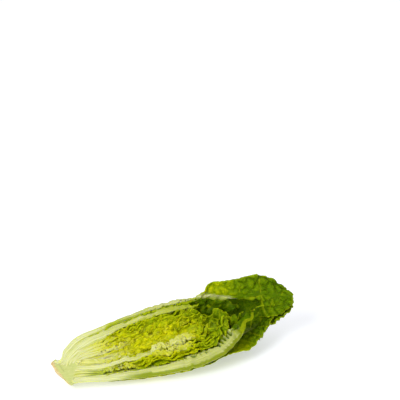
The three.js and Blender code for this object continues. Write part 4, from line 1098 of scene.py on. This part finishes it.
def leaf_material():
    m, t = nodes_of("romaine_leaf")
    pos = attribute(t, "at").outputs["Vector"]
    green = attribute(t, "green").outputs["Fac"]
    pale = attribute(t, "pale").outputs["Fac"]
    vein = attribute(t, "vein").outputs["Fac"]
    cut = attribute(t, "cutface").outputs["Fac"]
    white = attribute(t, "white").outputs["Fac"]

    blotch = tex_noise(t, scaled(t, pos, 0.07, 0.07), 1.0, 4.0, 0.6)
    fine = tex_noise(t, scaled(t, pos, 0.6, 0.6), 1.0, 3.0, 0.6)
    streak = tex_noise(t, scaled(t, pos, 0.028, 1.05), 1.0, 4.0, 0.65)
    lines = tex_noise(t, scaled(t, pos, 0.045, 2.6), 1.0, 2.0, 0.6)
    vor = t.nodes.new("ShaderNodeTexVoronoi")
    vor.feature = "DISTANCE_TO_EDGE"
    vor.inputs["Scale"].default_value = 0.86
    t.links.new(pos, vor.inputs["Vector"])
    net = ramp(t, vor.outputs["Distance"], [(0.0, (1, 1, 1)), (0.16, (0, 0, 0))])

    tone = math_node(t, "ADD", green, math_node(t, "MULTIPLY", math_node(t, "SUBTRACT", blotch, 0.5), 0.42), True)
    blade = ramp(t, tone, [
        (0.00, (0.71, 0.68, 0.004)),
        (0.16, (0.56, 0.565, 0.001)),
        (0.34, (0.35, 0.42, 0.0)),
        (0.56, (0.19, 0.28, 0.0)),
        (0.78, (0.098, 0.193, 0.0)),
        (1.00, (0.053, 0.122, 0.0)),
    ])
    blade = mix_colour(t, ramp(t, fine, [(0.35, (0, 0, 0)), (0.75, (0.5, 0.5, 0.5))]), blade, mix_colour(t, 1.0, blade, (0.62, 0.70, 0.4), "MULTIPLY"))
    speck = tex_noise(t, scaled(t, pos, 1.5, 1.5), 1.0, 2.0, 0.6)
    blade = mix_colour(t, 1.0, blade, ramp(t, speck, [(0.3, (0.70, 0.73, 0.5)), (0.5, (0.97, 0.98, 1)), (0.7, (1.16, 1.13, 1))]), "MULTIPLY")
    veins = math_node(t, "ADD", math_node(t, "MULTIPLY", vein, 0.8), math_node(t, "MULTIPLY", net, 0.10), True)
    vein_colour = mix_colour(t, 0.68, blade, (0.52, 0.60, 0.006))
    blade = mix_colour(t, veins, blade, vein_colour)
    grainy = math_node(t, "ADD", math_node(t, "MULTIPLY", streak, 0.65), math_node(t, "MULTIPLY", lines, 0.35))
    flesh = ramp(t, grainy, [(0.36, (0.33, 0.39, 0.035)), (0.44, (0.45, 0.49, 0.10)), (0.52, (0.545, 0.57, 0.19)), (0.62, (0.70, 0.71, 0.36))])
    bright = ramp(t, grainy, [(0.36, (0.44, 0.52, 0.10)), (0.44, (0.60, 0.64, 0.24)), (0.52, (0.72, 0.73, 0.38)), (0.62, (0.86, 0.86, 0.60))])
    flesh = mix_colour(t, white, flesh, bright)
    amount = math_node(t, "MULTIPLY", pale, 0.96)
    colour = mix_colour(t, amount, blade, flesh)
    cut_colour = mix_colour(t, pale, mix_colour(t, 0.5, colour, (0.60, 0.63, 0.006)), mix_colour(t, 0.25, colour, (0.70, 0.72, 0.30)))
    colour = mix_colour(t, math_node(t, "MULTIPLY", cut, 0.6), colour, cut_colour)

    p = t.nodes.new("ShaderNodeBsdfPrincipled")
    out = t.nodes.new("ShaderNodeOutputMaterial")
    t.links.new(p.outputs[0], out.inputs[0])
    t.links.new(colour, p.inputs["Base Color"])
    rough = math_node(t, "ADD", math_node(t, "MULTIPLY", fine, 0.22), 0.33)
    t.links.new(rough, p.inputs["Roughness"])
    p.inputs["IOR"].default_value = 1.42
    p.inputs["Specular IOR Level"].default_value = 0.045
    p.inputs["Subsurface Weight"].default_value = 0.7
    p.inputs["Subsurface Radius"].default_value = (0.9, 1.0, 0.08)
    p.inputs["Subsurface Scale"].default_value = 0.0011
    height = math_node(t, "ADD", math_node(t, "MULTIPLY", vor.outputs["Distance"], 0.5), math_node(t, "MULTIPLY", streak, math_node(t, "MULTIPLY", pale, 0.9)))
    height = math_node(t, "ADD", height, math_node(t, "MULTIPLY", fine, 0.35))
    b = t.nodes.new("ShaderNodeBump")
    b.inputs["Strength"].default_value = 0.45
    b.inputs["Distance"].default_value = 0.0004
    t.links.new(height, b.inputs["Height"])
    t.links.new(b.outputs[0], p.inputs["Normal"])
    return m


def core_material():
    m, t = nodes_of("romaine_core_flesh")
    pos = attribute(t, "at").outputs["Vector"]
    butt = attribute(t, "butt").outputs["Fac"]
    grain = tex_noise(t, scaled(t, pos, 0.22, 0.6), 1.0, 4.0, 0.6)
    fine = tex_noise(t, scaled(t, pos, 1.3, 1.3), 1.0, 3.0, 0.6)
    flesh = ramp(t, grain, [(0.25, (0.44, 0.50, 0.13)), (0.5, (0.54, 0.58, 0.19)), (0.75, (0.62, 0.64, 0.25))])
    flesh = mix_colour(t, math_node(t, "MULTIPLY", fine, 0.25), flesh, (0.66, 0.70, 0.32))
    stain = ramp(t, tex_noise(t, scaled(t, pos, 0.35, 0.35), 1.0, 4.0, 0.65), [(0.3, (0.50, 0.27, 0.11)), (0.55, (0.70, 0.53, 0.28)), (0.8, (0.78, 0.68, 0.42))])
    colour = mix_colour(t, math_node(t, "MULTIPLY", butt, 0.85), flesh, stain)
    p = t.nodes.new("ShaderNodeBsdfPrincipled")
    out = t.nodes.new("ShaderNodeOutputMaterial")
    t.links.new(p.outputs[0], out.inputs[0])
    t.links.new(colour, p.inputs["Base Color"])
    t.links.new(math_node(t, "ADD", math_node(t, "MULTIPLY", fine, 0.25), 0.35), p.inputs["Roughness"])
    p.inputs["IOR"].default_value = 1.42
    p.inputs["Specular IOR Level"].default_value = 0.2
    p.inputs["Subsurface Weight"].default_value = 0.35
    p.inputs["Subsurface Radius"].default_value = (0.8, 1.0, 0.35)
    p.inputs["Subsurface Scale"].default_value = 0.003
    b = t.nodes.new("ShaderNodeBump")
    b.inputs["Strength"].default_value = 0.4
    b.inputs["Distance"].default_value = 0.0005
    t.links.new(math_node(t, "ADD", grain, math_node(t, "MULTIPLY", fine, 0.5)), b.inputs["Height"])
    t.links.new(b.outputs[0], p.inputs["Normal"])
    return m


LEAF = leaf_material()
CORE = core_material()

total = 0
for leaf in LEAVES:
    ob = build_leaf(leaf)
    ob.data.materials.append(LEAF)
    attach(ob, "root")
    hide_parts(leaf["name"])
    total += len(ob.data.polygons) * 2
core = build_core()
core.data.materials.append(CORE)
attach(core, "root")
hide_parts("core")
print("triangles about", total)

# ---------------------------------------------------------------- floor, light, camera
me = bpy.data.meshes.new("floor")
me.from_pydata([(-4, -4, 0), (4, -4, 0), (4, 4, 0), (-4, 4, 0)], [], [(0, 1, 2, 3)])
floor = bpy.data.objects.new("floor", me)
bpy.context.scene.collection.objects.link(floor)
fm, ft = nodes_of("floor_white")
fp = ft.nodes.new("ShaderNodeBsdfPrincipled")
fo = ft.nodes.new("ShaderNodeOutputMaterial")
ft.links.new(fp.outputs[0], fo.inputs[0])
geo = ft.nodes.new("ShaderNodeNewGeometry")
fn = tex_noise(ft, geo.outputs["Position"], 40.0, 2.0, 0.5)
ft.links.new(ramp(ft, fn, [(0.0, (0.70, 0.715, 0.77)), (1.0, (0.73, 0.745, 0.80))]), fp.inputs["Base Color"])
fp.inputs["Roughness"].default_value = 0.7
fp.inputs["Emission Color"].default_value = (1, 1, 1, 1)
fp.inputs["Emission Strength"].default_value = 0.42
floor.data.materials.append(fm)

world = bpy.data.worlds.new("world")
bpy.context.scene.world = world
world.use_nodes = True
world.node_tree.nodes["Background"].inputs[0].default_value = (1.0, 1.0, 1.0, 1.0)
world.node_tree.nodes["Background"].inputs[1].default_value = 0.72


def area(name, place, target, size, power):
    from mathutils import Vector
    light = bpy.data.lights.new(name, "AREA")
    light.shape = "DISK"
    light.size = size
    light.energy = power
    ob = bpy.data.objects.new(name, light)
    ob.location = place
    ob.rotation_euler = (Vector(target) - Vector(place)).to_track_quat("-Z", "Y").to_euler()
    bpy.context.scene.collection.objects.link(ob)
    return ob


area("key", (-1.3, -0.8, 1.2), (0, 0, 0.02), 0.9, 21)

cam = bpy.data.cameras.new("camera")
cam.lens = 150
cam.sensor_width = 36
cam.clip_start = 0.05
cam.clip_end = 50
cam_ob = bpy.data.objects.new("camera", cam)
cam_ob.location = (-0.530172, -1.304651, 0.771163)
cam_ob.rotation_euler = (66.8702 * DEG, 0, -22.9935 * DEG)
bpy.context.scene.collection.objects.link(cam_ob)
bpy.context.scene.camera = cam_ob
bpy.context.scene.view_settings.view_transform = "Standard"
bpy.context.scene.view_settings.look = "None"
